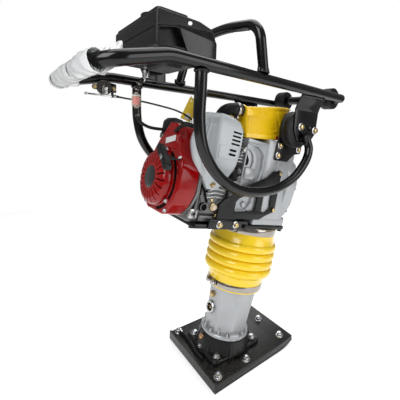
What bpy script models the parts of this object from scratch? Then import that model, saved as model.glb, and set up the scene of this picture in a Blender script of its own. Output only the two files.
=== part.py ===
"""Tamping rammer: a petrol engine on a crankcase that drives a spring leg and a flat shoe.

Metres, +Z up, +X is the way the machine travels, +Y is the operator's left.
The origin lies on the ground under the middle of the shoe.
Everything above the foot leans forward with the leg, apart from the level handle frame.
"""
import math

import bmesh
import bpy
from mathutils import Matrix, Vector

# Clearance between two pieces that touch on the real machine
GAP = 0.0003

# Lean and place of the leg
LEAN = math.radians(10.9)
LEG_X = -0.049
LEG = Matrix.Translation((LEG_X, 0, 0)) @ Matrix.Rotation(LEAN, 4, "Y")
WORLD = Matrix.Identity(4)

# Shoe
SHOE_LENGTH = 0.350
SHOE_WIDTH = 0.285
SOLE_THICK = 0.006
SOLE_LIP = 0.034
SOLE_CORNER = 0.004
CURL_RUN = 0.070
CURL_RISE = 0.018
BLOCK_TOP = 0.030
BLOCK_NOSE_TOP = 0.037
BLOCK_NOSE_BACK = 0.002
SHOE_BOLT_REAR_X = -0.149
SHOE_BOLT_MIDDLE_X = -0.036
SHOE_BOLT_FRONT_X = 0.138
SHOE_BOLT_Y = 0.122
SHOE_BOLT_FRONT_Y = 0.112
STUD_RADIUS = 0.005
SHOE_WASHER_RADIUS = 0.0135
SHOE_NUT_RADIUS = 0.0105
WASHER_THICK = 0.0022
NUT_HEIGHT = 0.010
STUD_TIP = 0.005
SLOPE_LIFT = 0.0014

# Foot casting
FLANGE_LENGTH = 0.200
FLANGE_WIDTH = 0.180
FLANGE_X = -0.040
FLANGE_THICK = 0.012
CUP_FOOT_RADIUS = 0.097
CUP_TOP_RADIUS = 0.085
CUP_TOP = 0.0745
CUP_RIB_COUNT = 8
CUP_RIB_THICK = 0.006
CUP_RIB_STEP = 0.003
FOOT_BOLT_X = 0.076
FOOT_BOLT_Y = 0.068
FOOT_BOLT_RADIUS = 0.0095
FOOT_BOLT_HEIGHT = 0.008

# Leg housing
LEG_RING_RADIUS = 0.083
LEG_RING_HEIGHT = 0.012
LEG_FLAT_LOW = 0.0665
LEG_FLAT_HIGH = 0.0785
LEG_BODY_TOP = 0.249
LEG_FLOOR_THICK = 0.008
LEG_BORE = 0.061
LEG_COLLAR_RADIUS = 0.0885
LEG_COLLAR_LOW = 0.243
LEG_COLLAR_HIGH = 0.267
LEG_NECK_RADIUS = 0.078
LEG_TOP = 0.360
LEG_RIB_THICK = 0.006
LEG_RIB_HEIGHT = 0.014
FILL_PLUG_HEIGHT = 0.205
PLUG_Y = 0.010
FILL_PLUG_RADIUS = 0.0115
SIGHT_RADIUS = 0.021
PLUG_SPACING = 0.0135
SIGHT_HEIGHT = FILL_PLUG_HEIGHT - FILL_PLUG_RADIUS - SIGHT_RADIUS - PLUG_SPACING
SIGHT_SOCKET = 0.012
PLUG_LENGTH = 0.009

# Ram and springs inside the leg
PISTON_RADIUS = 0.0555
PISTON_LOW = 0.1545
PISTON_THICK = 0.015
ROD_RADIUS = 0.014
WRIST_HEIGHT = 0.472
WRIST_RADIUS = 0.0065
FORK_RISE = 0.014
FORK_DEPTH = 0.027
FORK_SLOT_DEPTH = 0.0145
FORK_WEB = 0.007
FORK_HALF = 0.020
FORK_SLOT = 0.0126
FORK_TOP = WRIST_HEIGHT + FORK_RISE
FORK_LOW = WRIST_HEIGHT - FORK_DEPTH
FORK_SLOT_LOW = WRIST_HEIGHT - FORK_SLOT_DEPTH
ROD_TOP = FORK_LOW + FORK_WEB
BUSH_LOW = 0.225
BUSH_THICK = 0.015
SPRING_RADIUS = 0.040
SPRING_WIRE = 0.0045
SPRING_TURNS = 4
SPRING_POINTS = 9

# Connecting rod and drive gears
CON_ROD_HALF = 0.0122
CON_SMALL_RADIUS = 0.0125
CON_BIG_RADIUS = 0.021
CRANK_RADIUS = 0.030
CRANK_PIN_RADIUS = 0.009
CRANK_PIN_CLEAR = 0.0023
GEAR_TEETH = 48
PINION_TEETH = 12
GEAR_MODULE = 0.003
GEAR_BACKLASH = 0.0004
PRESSURE_ANGLE = math.radians(25)
ADDENDUM = 0.85
DEDENDUM = 1.15
GEAR_BACK = -0.050
GEAR_FRONT = -0.030
GEAR_SHAFT_RADIUS = 0.012
PINION_SHAFT_RADIUS = 0.010
BEARING_CLEAR = 0.0004

# Guide cylinder, flange and bellows
GUIDE_OUTER = 0.0600
GUIDE_INNER = 0.0540
GUIDE_LOW = 0.280
GUIDE_COLLAR_RADIUS = 0.1015
GUIDE_COLLAR_LOW = 0.431
BASE_LOW = 0.4618
BASE_THICK = 0.012
BASE_HALF = 0.095
BASE_CORNER = 0.012
BELLOWS_WALL = 0.003
BELLOWS_LOW = 0.2415
BELLOWS_HIGH = 0.4612
BELLOWS_CUFF_LOW = 0.0953
BELLOWS_CUFF_HIGH = 0.1045
BELLOWS_CUFF_LOW_TOP = 0.266
BELLOWS_CUFF_HIGH_FOOT = 0.436
BULGE_RADIUS = 0.1190
VALLEY_RADIUS = 0.1065
BULGE_LOW = 0.3112
BULGE_HIGH = 0.3945
BULGE_COUNT = 4
CLAMP_THICK = 0.0018
LOWER_CLAMP_WIDTH = 0.0165
UPPER_CLAMP_WIDTH = 0.012
LOWER_CLAMP_LOW = 0.248
UPPER_CLAMP_LOW = 0.4400

# Crankcase
CASE_HALF = 0.095
CASE_REAR = -0.150
CASE_STEP = -0.062
CASE_FRONT = 0.070
CASE_REAR_FOOT = 0.500
CASE_REAR_TOP = 0.735
CASE_TOP = 0.752
CASE_WALL = 0.008
CASE_THROAT = 0.060
CASE_FOOT_FRONT = 0.085
CASE_FOOT_TOP = 0.505
CASE_FOOT_HALF = 0.0945
CASE_REAR_INSET = 0.004
CASE_RIM_TOP = 0.7225
CASE_RIM = 0.007
CASE_RECESS = 0.005
CASE_DRUM_RADIUS = 0.1065
CASE_DRUM_MIDDLE = 0.627
CASE_DRUM_TURN = 0.26
CASE_DRUM_FRONT = 0.094
CASE_CHIN_HALF = 0.079
CASE_CHIN_LOW = 0.507
CASE_CHEEK_HALF = 0.0977
CASE_CHEEK = 0.5515
COVER_INSET = 0.003
COVER_FLANGE = 0.007
COVER_DOME_RADIUS = 0.064
COVER_DOME = 0.020

# Engine
ENGINE_Y = -0.012
ENGINE_AXIS = 0.574
CLUTCH_HOUSING_RADIUS = 0.075
CLUTCH_HOUSING_WALL = 0.007
DRUM_RADIUS = 0.060
DRUM_WALL = 0.004
DRUM_BACK = -0.172
DRUM_FRONT = -0.153
CLUTCH_HUB_RADIUS = 0.050
ENGINE_SHAFT_RADIUS = 0.012
BLOCK_REAR = -0.299
BLOCK_FRONT = -0.180
BLOCK_HALF = 0.078
BLOCK_HIGH = 0.640
BACK_PLATE_THICK = 0.006
BACK_PLATE_LAP = 0.002
DECK_REAR = -0.285
DECK_HALF = 0.1013
DECK_LIP_THICK = 0.006
DECK_LIP_TOP = 0.490
DECK_LIP_REAR = -0.245
DECK_LIP_FRONT = -0.100
BRACKET_THICK = 0.006
CYLINDER_REAR = -0.296
CYLINDER_FRONT = -0.205
CYLINDER_HALF = 0.043
FIN_HALF = 0.055
FIN_COUNT = 6
FIN_PITCH = 0.012
FIN_THICK = 0.005
HEAD_TOP = 0.726
SHROUD_REAR = -0.362
SHROUD_WALL = 0.003
SHROUD_INTAKE = 0.050
FAN_RADIUS = 0.062
FAN_CORE = 0.034
FAN_BLADES = 10
FAN_BACK = -0.330
FAN_FRONT = -0.350
RECOIL_RADIUS = 0.072
RECOIL_FACE = -0.392
RECOIL_WALL = 0.0025
RECOIL_SLOTS = 20
RECOIL_SLOT_IN = 0.036
RECOIL_SLOT_OUT = 0.064
RECOIL_SLOT_WIDTH = 0.0036
RECOIL_POST = 0.006
PULLEY_RADIUS = 0.035
PULLEY_THICK = 0.010
GRIP_CENTRE = (-0.4050, -0.095, 0.632)
GRIP_LENGTH = 0.084
GRIP_TILT = math.radians(38.5)
GRIP_THICK = 0.008
GRIP_WIDTH = 0.010
ROPE_RADIUS = 0.002
ROPE_END = -0.316
GUARD_OUTER = -0.155
GUARD_BACK = -0.353
GUARD_FRONT = -0.222
GUARD_FOOT = 0.572
GUARD_HIGH = 0.768
GUARD_WALL = 0.003
GUARD_EDGE = 0.008
GUARD_HOLLOW_LOW = 0.610
GUARD_BOLT = (-0.266, 0.586)
GUARD_BOLT_SEAT = 0.115
GUARD_SWEEP = 0.75
# Height, rear, start of the flank, rear edge of the outer face, outer face and front of each section
GUARD_SHAPE = (
    (GUARD_FOOT, -0.276, -0.108, -0.268, -0.112, -0.236),
    (0.592, -0.294, -0.108, -0.277, -0.119, -0.232),
    (0.615, -0.318, -0.110, -0.290, -0.138, -0.229),
    (0.645, -0.340, -0.112, -0.298, -0.152, -0.224),
    (0.690, GUARD_BACK, -0.112, -0.302, GUARD_OUTER, GUARD_FRONT),
    (0.735, -0.337, -0.105, -0.305, -0.154, -0.224),
    (0.757, -0.322, -0.095, -0.301, -0.147, -0.234),
    (GUARD_HIGH, -0.305, -0.085, -0.290, -0.132, -0.250),
)
# Front end, height, length and width of each slot in the guard
GUARD_LOUVRES = tuple((-0.2335, 0.734 - 0.0095 * index, 0.026, 0.0042) for index in range(4))
GUARD_LOUVRES += ((-0.240, 0.685, 0.023, 0.0055), (-0.240, 0.674, 0.023, 0.0055))
AIR_BOX_REAR = -0.2955
AIR_BOX_FRONT = -0.240
AIR_BOX_OUTER = 0.118
AIR_BOX_LOW = 0.655
AIR_BOX_HIGH = 0.742
SWITCH_Y = 0.085
SWITCH_HEIGHT = 0.690
SWITCH_RADIUS = 0.008
SWITCH_LENGTH = 0.042

# Air filter and elbow hose
FILTER_REAR = -0.070
FILTER_REAR_TOP = 0.843
FILTER_REAR_FOOT = 0.758
FILTER_FRONT = 0.100
FILTER_FRONT_TOP = 0.852
FILTER_DRAFT = 0.008
FILTER_FRONT_DRAFT = 0.026
FILTER_RIGHT = -0.080
FILTER_LEFT = 0.045
FILTER_ROUND = 0.008
NOZZLE_Y = -0.060
NOZZLE_Z = 0.825
NOZZLE_RADIUS = 0.0175
NOZZLE_LENGTH = 0.015
ELBOW_RADIUS = 0.0185

# Rubber mounts that carry the handle
MOUNT_U = 0.012
MOUNT_W = 0.800
MOUNT_RADIUS = 0.058
BRACKET_PLATE = 0.005
BOLT_RADIUS = 0.0085
BOLT_HEIGHT = 0.007
PLATE_INNER = 0.1362
PLATE_THICK = 0.005
PLATE_TOP_AHEAD = 0.0855
PLATE_TOP_BEHIND = 0.0325

# Handle frame
TUBE_RADIUS = 0.01425
HANDLE_Z = 0.9035
HANDLE_HALF = 0.166
HANDLE_TOE = 0.050
HANDLE_FRONT = 0.312
HANDLE_BEND = -0.364
HANDLE_REAR = -0.495
HANDLE_REAR_Z = 0.868
HANDLE_CORNER = 0.050
LEFT_DIP_FRONT = 0.010
LEFT_DIP_REAR = 0.0065
GRIP_OUTER = 0.0178
GRIP_HALF = 0.130
CROSS_X = 0.303
CROSS_RADIUS = 0.016
ROLLER_RADIUS = 0.0365
ROLLER_INNER_Y = 0.088
ROLLER_WIDTH = 0.040
ARCH_RADIUS = 0.0135
ARCH_X = -0.098
ARCH_LEFT_SWEEP = 0.048
ARCH_LEAN = 0.020
ARCH_SHOULDER = 1.030
ARCH_CROWN = 1.054
ARCH_BEND = 0.036
ARCH_FOOT = 0.008
HOOP_RADIUS = 0.0135
HOOP_TOP_X = -0.288

# Fuel tank
TANK_REAR = -0.367
TANK_FRONT = -0.206
TANK_HALF = 0.130
TANK_LOW = 0.930
TANK_HIGH = 1.006
BELLY_REAR = -0.312
BELLY_FRONT = -0.260
BELLY_HALF = 0.055
BELLY_LOW = 0.911
TAB_REAR = -0.290
TAB_LENGTH = 0.045
TAB_THICK = 0.005
TANK_CORNER = 0.010
CAP_X = -0.328
CAP_Y = -0.020
CAP_RADIUS = 0.026
CAP_HEIGHT = 0.017

# Fuel tap, filter and hoses
TAP_X = -0.299
TAP_SLANT = 0.012
TAP_Y = 0.085
TAP_RADIUS = 0.008
TAP_LOW = 0.889
TAP_LEVER_Z = 0.906
HOSE_RADIUS = 0.0038
FUEL_FILTER_X = -0.318
FUEL_FILTER_Y = 0.105
FUEL_FILTER_LOW = 0.813
FUEL_FILTER_HIGH = 0.857
FUEL_FILTER_RADIUS = 0.0135

# Throttle
THROTTLE_X = -0.386
THROTTLE_Z = 0.864
THROTTLE_RADIUS = 0.020
THROTTLE_IN = 0.160
THROTTLE_OUT = 0.172
LEVER_THICK = 0.004
LEVER_TIP_X = -0.436
LEVER_BAR_Z = 0.8405
CABLE_RADIUS = 0.0024
CABLE_Z = 0.844
CABLE_IN_U = 0.0335
CABLE_IN_Y = 0.062

PARTS = None
CUTTERS = None


def clear_scene():
    """Empty the scene and make the two collections."""
    global PARTS, CUTTERS
    for old in list(bpy.data.objects):
        bpy.data.objects.remove(old, do_unlink=True)
    PARTS = bpy.data.collections.new("tamping_rammer")
    CUTTERS = bpy.data.collections.new("cutters")
    bpy.context.scene.collection.children.link(PARTS)
    bpy.context.scene.collection.children.link(CUTTERS)


def look(name, colour, roughness, metallic=0.0):
    """A Principled material for one sub-part."""
    material = bpy.data.materials.new(name + "_finish")
    material.use_nodes = True
    shader = material.node_tree.nodes["Principled BSDF"]
    shader.inputs["Base Color"].default_value = (*colour, 1.0)
    shader.inputs["Roughness"].default_value = roughness
    shader.inputs["Metallic"].default_value = metallic
    return material


BLACK = ((0.012, 0.012, 0.013), 0.35, 0.0)
BLACK_PLASTIC = ((0.02, 0.02, 0.022), 0.5, 0.0)
RUBBER = ((0.015, 0.015, 0.015), 0.75, 0.0)
SILVER = ((0.55, 0.57, 0.59), 0.4, 0.8)
STEEL = ((0.6, 0.6, 0.6), 0.25, 1.0)
ZINC = ((0.75, 0.76, 0.78), 0.25, 1.0)
GOLD = ((0.65, 0.5, 0.22), 0.35, 1.0)
YELLOW = ((0.85, 0.62, 0.03), 0.35, 0.0)
RED = ((0.45, 0.01, 0.015), 0.3, 0.0)
GREY_PLASTIC = ((0.5, 0.53, 0.55), 0.5, 0.0)
CLEAR_PLASTIC = ((0.75, 0.7, 0.6), 0.3, 0.0)


def mesh_object(name, bm, frame=WORLD):
    """Wrap a bmesh in an object with outward faces; it stays a guide until keep() names it a part."""
    bmesh.ops.recalc_face_normals(bm, faces=bm.faces)
    mesh = bpy.data.meshes.new(name)
    bm.to_mesh(mesh)
    bm.free()
    obj = bpy.data.objects.new(name, mesh)
    obj.matrix_world = frame
    CUTTERS.objects.link(obj)
    obj.hide_render = True
    obj.display_type = "WIRE"
    return obj


def keep(obj, name, finish, bevel=0.0, segments=2):
    """Turn a guide object into a named sub-part with its own material."""
    if bevel:
        rounding = obj.modifiers.new("rounded_edges", "BEVEL")
        rounding.width = bevel
        rounding.segments = segments
        rounding.limit_method = "ANGLE"
        rounding.angle_limit = math.radians(40)
        rounding.use_clamp_overlap = True
    obj.name = name
    obj.data.name = name
    CUTTERS.objects.unlink(obj)
    PARTS.objects.link(obj)
    obj.hide_render = False
    obj.display_type = "TEXTURED"
    obj.data.materials.clear()
    obj.data.materials.append(look(name, *finish))
    return obj


def smooth(obj, angle=35):
    """Shade round faces smooth and keep corners sharp."""
    obj.data.shade_smooth()
    obj.data.set_sharp_from_angle(angle=math.radians(angle))
    return obj


def box(name, low, high, frame=WORLD):
    """A box between two opposite corners."""
    bm = bmesh.new()
    bmesh.ops.create_cube(bm, size=1.0)
    middle = (Vector(low) + Vector(high)) / 2
    size = Vector(high) - Vector(low)
    bmesh.ops.scale(bm, vec=size, verts=bm.verts)
    bmesh.ops.translate(bm, vec=middle, verts=bm.verts)
    return mesh_object(name, bm, frame)


def add_rod(bm, start, end, radius, radius_end=None, sides=24, turn=0.0):
    """Add a round bar or cone from one point to another to a bmesh."""
    start = Vector(start)
    along = Vector(end) - start
    matrix = Matrix.Translation(start + along / 2) @ along.to_track_quat("Z", "Y").to_matrix().to_4x4()
    matrix = matrix @ Matrix.Rotation(turn, 4, "Z")
    top = radius if radius_end is None else radius_end
    bmesh.ops.create_cone(bm, cap_ends=True, segments=sides, radius1=radius, radius2=top,
                          depth=along.length, matrix=matrix)


def rod(name, start, end, radius, frame=WORLD, radius_end=None, sides=24, turn=0.0):
    """A round bar or cone as its own object."""
    bm = bmesh.new()
    add_rod(bm, start, end, radius, radius_end, sides, turn)
    return smooth(mesh_object(name, bm, frame))


def turned(name, profile, frame=WORLD, steps=28, closed=False):
    """A turned shape about local Z from (radius, height) points, top to bottom on the outside."""
    bm = bmesh.new()
    points = [bm.verts.new((radius, 0, height)) for radius, height in profile]
    for first, second in zip(points, points[1:]):
        bm.edges.new((first, second))
    if closed:
        bm.edges.new((points[-1], points[0]))
    mesh = bpy.data.meshes.new(name)
    bm.to_mesh(mesh)
    bm.free()
    obj = bpy.data.objects.new(name, mesh)
    obj.matrix_world = frame
    CUTTERS.objects.link(obj)
    obj.hide_render = True
    obj.display_type = "WIRE"
    screw = obj.modifiers.new("turning", "SCREW")
    screw.axis = "Z"
    screw.steps = steps
    screw.render_steps = steps
    screw.use_merge_vertices = True
    screw.merge_threshold = 0.0001
    screw.use_smooth_shade = True
    return obj


def along_x(centre_u, centre_y, centre_w):
    """A frame in the leaning leg whose turning axis points forward."""
    return LEG @ Matrix.Translation((centre_u, centre_y, centre_w)) @ Matrix.Rotation(math.pi / 2, 4, "Y")


def along_y(place):
    """A frame at a world place whose turning axis points to the operator's left."""
    return Matrix.Translation(place) @ Matrix.Rotation(-math.pi / 2, 4, "X")


def from_curve(curve, name, frame):
    """Make a closed mesh object from a curve, with its caps welded."""
    source = bpy.data.objects.new(name + "_curve", curve)
    CUTTERS.objects.link(source)
    source.matrix_world = frame
    bpy.context.view_layer.update()
    graph = bpy.context.evaluated_depsgraph_get()
    mesh = bpy.data.meshes.new_from_object(source.evaluated_get(graph))
    bm = bmesh.new()
    bm.from_mesh(mesh)
    bmesh.ops.remove_doubles(bm, verts=bm.verts, dist=0.00001)
    bpy.data.meshes.remove(mesh)
    obj = mesh_object(name, bm, frame)
    bpy.data.objects.remove(source, do_unlink=True)
    return smooth(obj)


def tube(name, points, radius, frame=WORLD, resolution=4):
    """A round tube with filled ends along a list of points."""
    curve = bpy.data.curves.new(name, "CURVE")
    curve.dimensions = "3D"
    curve.bevel_depth = radius
    curve.bevel_resolution = resolution
    curve.use_fill_caps = True
    line = curve.splines.new("POLY")
    line.points.add(len(points) - 1)
    for place, point in zip(line.points, points):
        place.co = (*point, 1.0)
    return from_curve(curve, name, frame)


def sheet(name, outlines, low, high, frame=WORLD):
    """A flat outline, with holes as further outlines, extruded between two heights of local Z."""
    curve = bpy.data.curves.new(name, "CURVE")
    curve.dimensions = "2D"
    curve.fill_mode = "BOTH"
    curve.extrude = (high - low) / 2
    for outline in outlines:
        line = curve.splines.new("POLY")
        line.points.add(len(outline) - 1)
        for place, point in zip(line.points, outline):
            place.co = (point[0], point[1], 0.0, 1.0)
        line.use_cyclic_u = True
    return from_curve(curve, name, frame @ Matrix.Translation((0, 0, (low + high) / 2)))


# A sheet drawn as (x, z) and extruded along -Y, and one drawn as (y, z) and extruded along X
SIDE_VIEW = Matrix.Rotation(math.pi / 2, 4, "X")
REAR_VIEW = Matrix(((0, 0, 1, 0), (1, 0, 0, 0), (0, 1, 0, 0), (0, 0, 0, 1)))


def side_sheet(name, outlines, y_low, y_high, frame=WORLD):
    """A side-view outline of (x, z) points between two values of y."""
    return sheet(name, outlines, -y_high, -y_low, frame @ SIDE_VIEW)


def rear_sheet(name, outlines, x_low, x_high, frame=WORLD):
    """A rear-view outline of (y, z) points between two values of x."""
    return sheet(name, outlines, x_low, x_high, frame @ REAR_VIEW)


def loft(name, sections, frame=WORLD):
    """A closed skin over sections with equal numbers of points, capped at both ends."""
    bm = bmesh.new()
    rings = [[bm.verts.new(point) for point in section] for section in sections]
    for lower, upper in zip(rings, rings[1:]):
        for index in range(len(lower)):
            after = (index + 1) % len(lower)
            bm.faces.new((lower[index], lower[after], upper[after], upper[index]))
    bm.faces.new(rings[0])
    bm.faces.new(rings[-1])
    return mesh_object(name, bm, frame)


def cut(obj, *cutters):
    """Take the cutters out of an object."""
    for cutter in cutters:
        step = obj.modifiers.new("cut", "BOOLEAN")
        step.operation = "DIFFERENCE"
        step.solver = "EXACT"
        step.object = cutter
    return obj


def unite(obj, *others):
    """Join other solids to an object."""
    for other in others:
        step = obj.modifiers.new("join", "BOOLEAN")
        step.operation = "UNION"
        step.solver = "EXACT"
        step.object = other
    return obj


def arc(centre, radius, start, end, steps):
    """Points on an arc, from one angle to another."""
    points = []
    for index in range(steps + 1):
        angle = start + (end - start) * index / steps
        points.append((centre[0] + radius * math.cos(angle), centre[1] + radius * math.sin(angle)))
    return points


def circle(centre, radius, count=16):
    """Points round a full circle."""
    return arc(centre, radius, 0, 2 * math.pi * (count - 1) / count, count - 1)


def rounded_route(corners, radius, steps=5):
    """A polyline through corner points whose corners are rounded arcs."""
    corners = [Vector(corner) for corner in corners]
    route = [corners[0]]
    for before, corner, after in zip(corners, corners[1:], corners[2:]):
        back = (before - corner).normalized()
        ahead = (after - corner).normalized()
        half = back.angle(ahead) / 2
        reach = min(radius / math.tan(half), 0.49 * (before - corner).length, 0.49 * (after - corner).length)
        bend = reach * math.tan(half)
        middle = corner + (back + ahead).normalized() * (bend / math.sin(half))
        first = corner + back * reach - middle
        last = corner + ahead * reach - middle
        for index in range(steps + 1):
            route.append(middle + first.slerp(last, index / steps).normalized() * first.length)
    route.append(corners[-1])
    return route


def flowing_route(points, spacing):
    """Points at a steady spacing on a smooth curve through hand-chosen points, straight at both ends."""
    points = [Vector(point) for point in points]
    route = points[:2]
    for p0, p1, p2, p3 in zip(points, points[1:], points[2:], points[3:]):
        count = max(1, round((p2 - p1).length / spacing))
        for index in range(1, count + 1):
            t = index / count
            route.append(0.5 * (2 * p1 + (p2 - p0) * t + (2 * p0 - 5 * p1 + 4 * p2 - p3) * t * t
                                + (3 * p1 - p0 - 3 * p2 + p3) * t * t * t))
    route.append(points[-1])
    return route


def uprights(name, places, low, high, radius, sides, frame=WORLD):
    """Equal upright bars at several places, between two heights above each place."""
    bm = bmesh.new()
    for x, y, z in places:
        add_rod(bm, (x, y, z + low), (x, y, z + high), radius, sides=sides)
    return mesh_object(name, bm, frame)


def curl_radius():
    """Bend radius of the turned-up nose of the sole."""
    return (CURL_RUN ** 2 + CURL_RISE ** 2) / (2 * CURL_RISE)


def sole_rise_at(x):
    """Height that the turned-up nose of the sole has risen to."""
    run = max(0.0, x - SHOE_LENGTH / 2 + CURL_RUN)
    return curl_radius() - math.sqrt(curl_radius() ** 2 - run ** 2)


def block_top_at(x):
    """Height of the shoe block's upper face."""
    nose_start = SHOE_LENGTH / 2 - CURL_RUN
    share = max(0.0, (x - nose_start) / (CURL_RUN - BLOCK_NOSE_BACK))
    return BLOCK_TOP + (BLOCK_NOSE_TOP - BLOCK_TOP) * share


def shoe_bolts():
    """Places of the shoe nuts, on the block's upper face."""
    flat = [(SHOE_BOLT_REAR_X, side * SHOE_BOLT_Y) for side in (-1, 1)]
    flat += [(SHOE_BOLT_MIDDLE_X, side * SHOE_BOLT_Y) for side in (-1, 1)]
    flat += [(SHOE_BOLT_FRONT_X, side * SHOE_BOLT_FRONT_Y) for side in (-1, 0, 1)]
    return [(x, y, block_top_at(x) + GAP + (SLOPE_LIFT if x > 0 else 0.0)) for x, y in flat]


def make_shoe():
    """Steel sole with a folded rear lip, a turned-up nose and its studs, and the block on it."""
    rear = -SHOE_LENGTH / 2
    nose_start = SHOE_LENGTH / 2 - CURL_RUN
    bend = curl_radius()
    sweep = math.asin(CURL_RUN / bend)
    centre = (nose_start, bend)
    down = -math.pi / 2
    outer = [(rear, SOLE_LIP), (rear, SOLE_CORNER), (rear + SOLE_CORNER, 0)]
    outer += arc(centre, bend, down, down + sweep, 6)
    inner = arc(centre, bend - SOLE_THICK, down + sweep, down, 6)
    inner += [(rear + SOLE_THICK, SOLE_THICK), (rear + SOLE_THICK, SOLE_LIP)]
    half = SHOE_WIDTH / 2
    sole = side_sheet("sole", [outer + inner], -half, half)
    nut_top = WASHER_THICK + NUT_HEIGHT
    studs = bmesh.new()
    holes = bmesh.new()
    for x, y, height in shoe_bolts():
        foot = SOLE_THICK / 2 + sole_rise_at(x)
        add_rod(studs, (x, y, foot), (x, y, height + nut_top + STUD_TIP), STUD_RADIUS, sides=8)
        add_rod(holes, (x, y, 0), (x, y, height + nut_top), STUD_RADIUS + GAP, sides=8)
    unite(sole, mesh_object("studs", studs),
          uprights("washers", shoe_bolts(), 0, WASHER_THICK, SHOE_WASHER_RADIUS, 12),
          uprights("nuts", shoe_bolts(), WASHER_THICK / 2, nut_top, SHOE_NUT_RADIUS, 6))
    keep(sole, "sole_plate", BLACK)

    seat = SOLE_THICK + GAP
    nose_x = SHOE_LENGTH / 2 - BLOCK_NOSE_BACK
    nose_radius = bend - seat
    block_sweep = math.asin((nose_x - nose_start) / nose_radius)
    outline = [(rear + seat, BLOCK_TOP), (rear + seat, seat)]
    outline += arc(centre, nose_radius, down, down + block_sweep, 6)
    outline += [(nose_x, BLOCK_NOSE_TOP), (nose_start, BLOCK_TOP)]
    block = side_sheet("block", [outline], -half, half)
    cut(block, mesh_object("stud_holes", holes))
    keep(block, "shoe_block", BLACK)


def leg_height_at(u, z):
    """Height along the leaning leg at which a place u forward of its axis has the world height z."""
    return (z + u * math.sin(LEAN)) / math.cos(LEAN)


def make_foot_casting():
    """Square flange on the block with a ribbed cone that carries the leg."""
    low = BLOCK_TOP + GAP
    top = low + FLANGE_THICK
    half_x = FLANGE_LENGTH / 2
    half_y = FLANGE_WIDTH / 2
    casting = box("flange", (FLANGE_X - half_x, -half_y, low), (FLANGE_X + half_x, half_y, top))
    sunk = (low + top) / 2
    rib_foot = (low + sunk) / 2
    bm = bmesh.new()
    add_rod(bm, (0, 0, 0), (0, 0, 1), 1, sides=32)
    for vert in bm.verts:
        raised = vert.co.z > 0.5
        radius = CUP_TOP_RADIUS if raised else CUP_FOOT_RADIUS
        u = vert.co.x * radius
        vert.co = (u, vert.co.y * radius, CUP_TOP if raised else leg_height_at(u, sunk))
    unite(casting, mesh_object("cone", bm, LEG))
    for index in range(CUP_RIB_COUNT):
        angle = (index + 0.5) * 2 * math.pi / CUP_RIB_COUNT
        turn = LEG @ Matrix.Rotation(angle, 4, "Z")
        inner = CUP_TOP_RADIUS - 0.02
        shoulder = CUP_TOP - CUP_RIB_STEP
        outer_top = CUP_TOP_RADIUS + CUP_RIB_STEP
        outer_foot = CUP_FOOT_RADIUS + CUP_RIB_STEP
        outline = [(inner, shoulder), (outer_top, shoulder),
                   (outer_foot, leg_height_at(outer_foot * math.cos(angle), rib_foot)),
                   (inner, leg_height_at(inner * math.cos(angle), rib_foot))]
        unite(casting, side_sheet("cone_rib", [outline], -CUP_RIB_THICK / 2, CUP_RIB_THICK / 2, turn))
    places = [(FLANGE_X + side_x * FOOT_BOLT_X, side_y * FOOT_BOLT_Y, top)
              for side_x in (-1, 1) for side_y in (-1, 1)]
    unite(casting, uprights("foot_bolts", places, -0.004, FOOT_BOLT_HEIGHT, FOOT_BOLT_RADIUS, 6))
    keep(casting, "foot_casting", BLACK)


def leg_flat_at(height):
    """Distance from the leg's axis to its flat faces."""
    share = (height - CUP_TOP) / (LEG_BODY_TOP - CUP_TOP)
    return LEG_FLAT_LOW + (LEG_FLAT_HIGH - LEG_FLAT_LOW) * share


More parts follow.
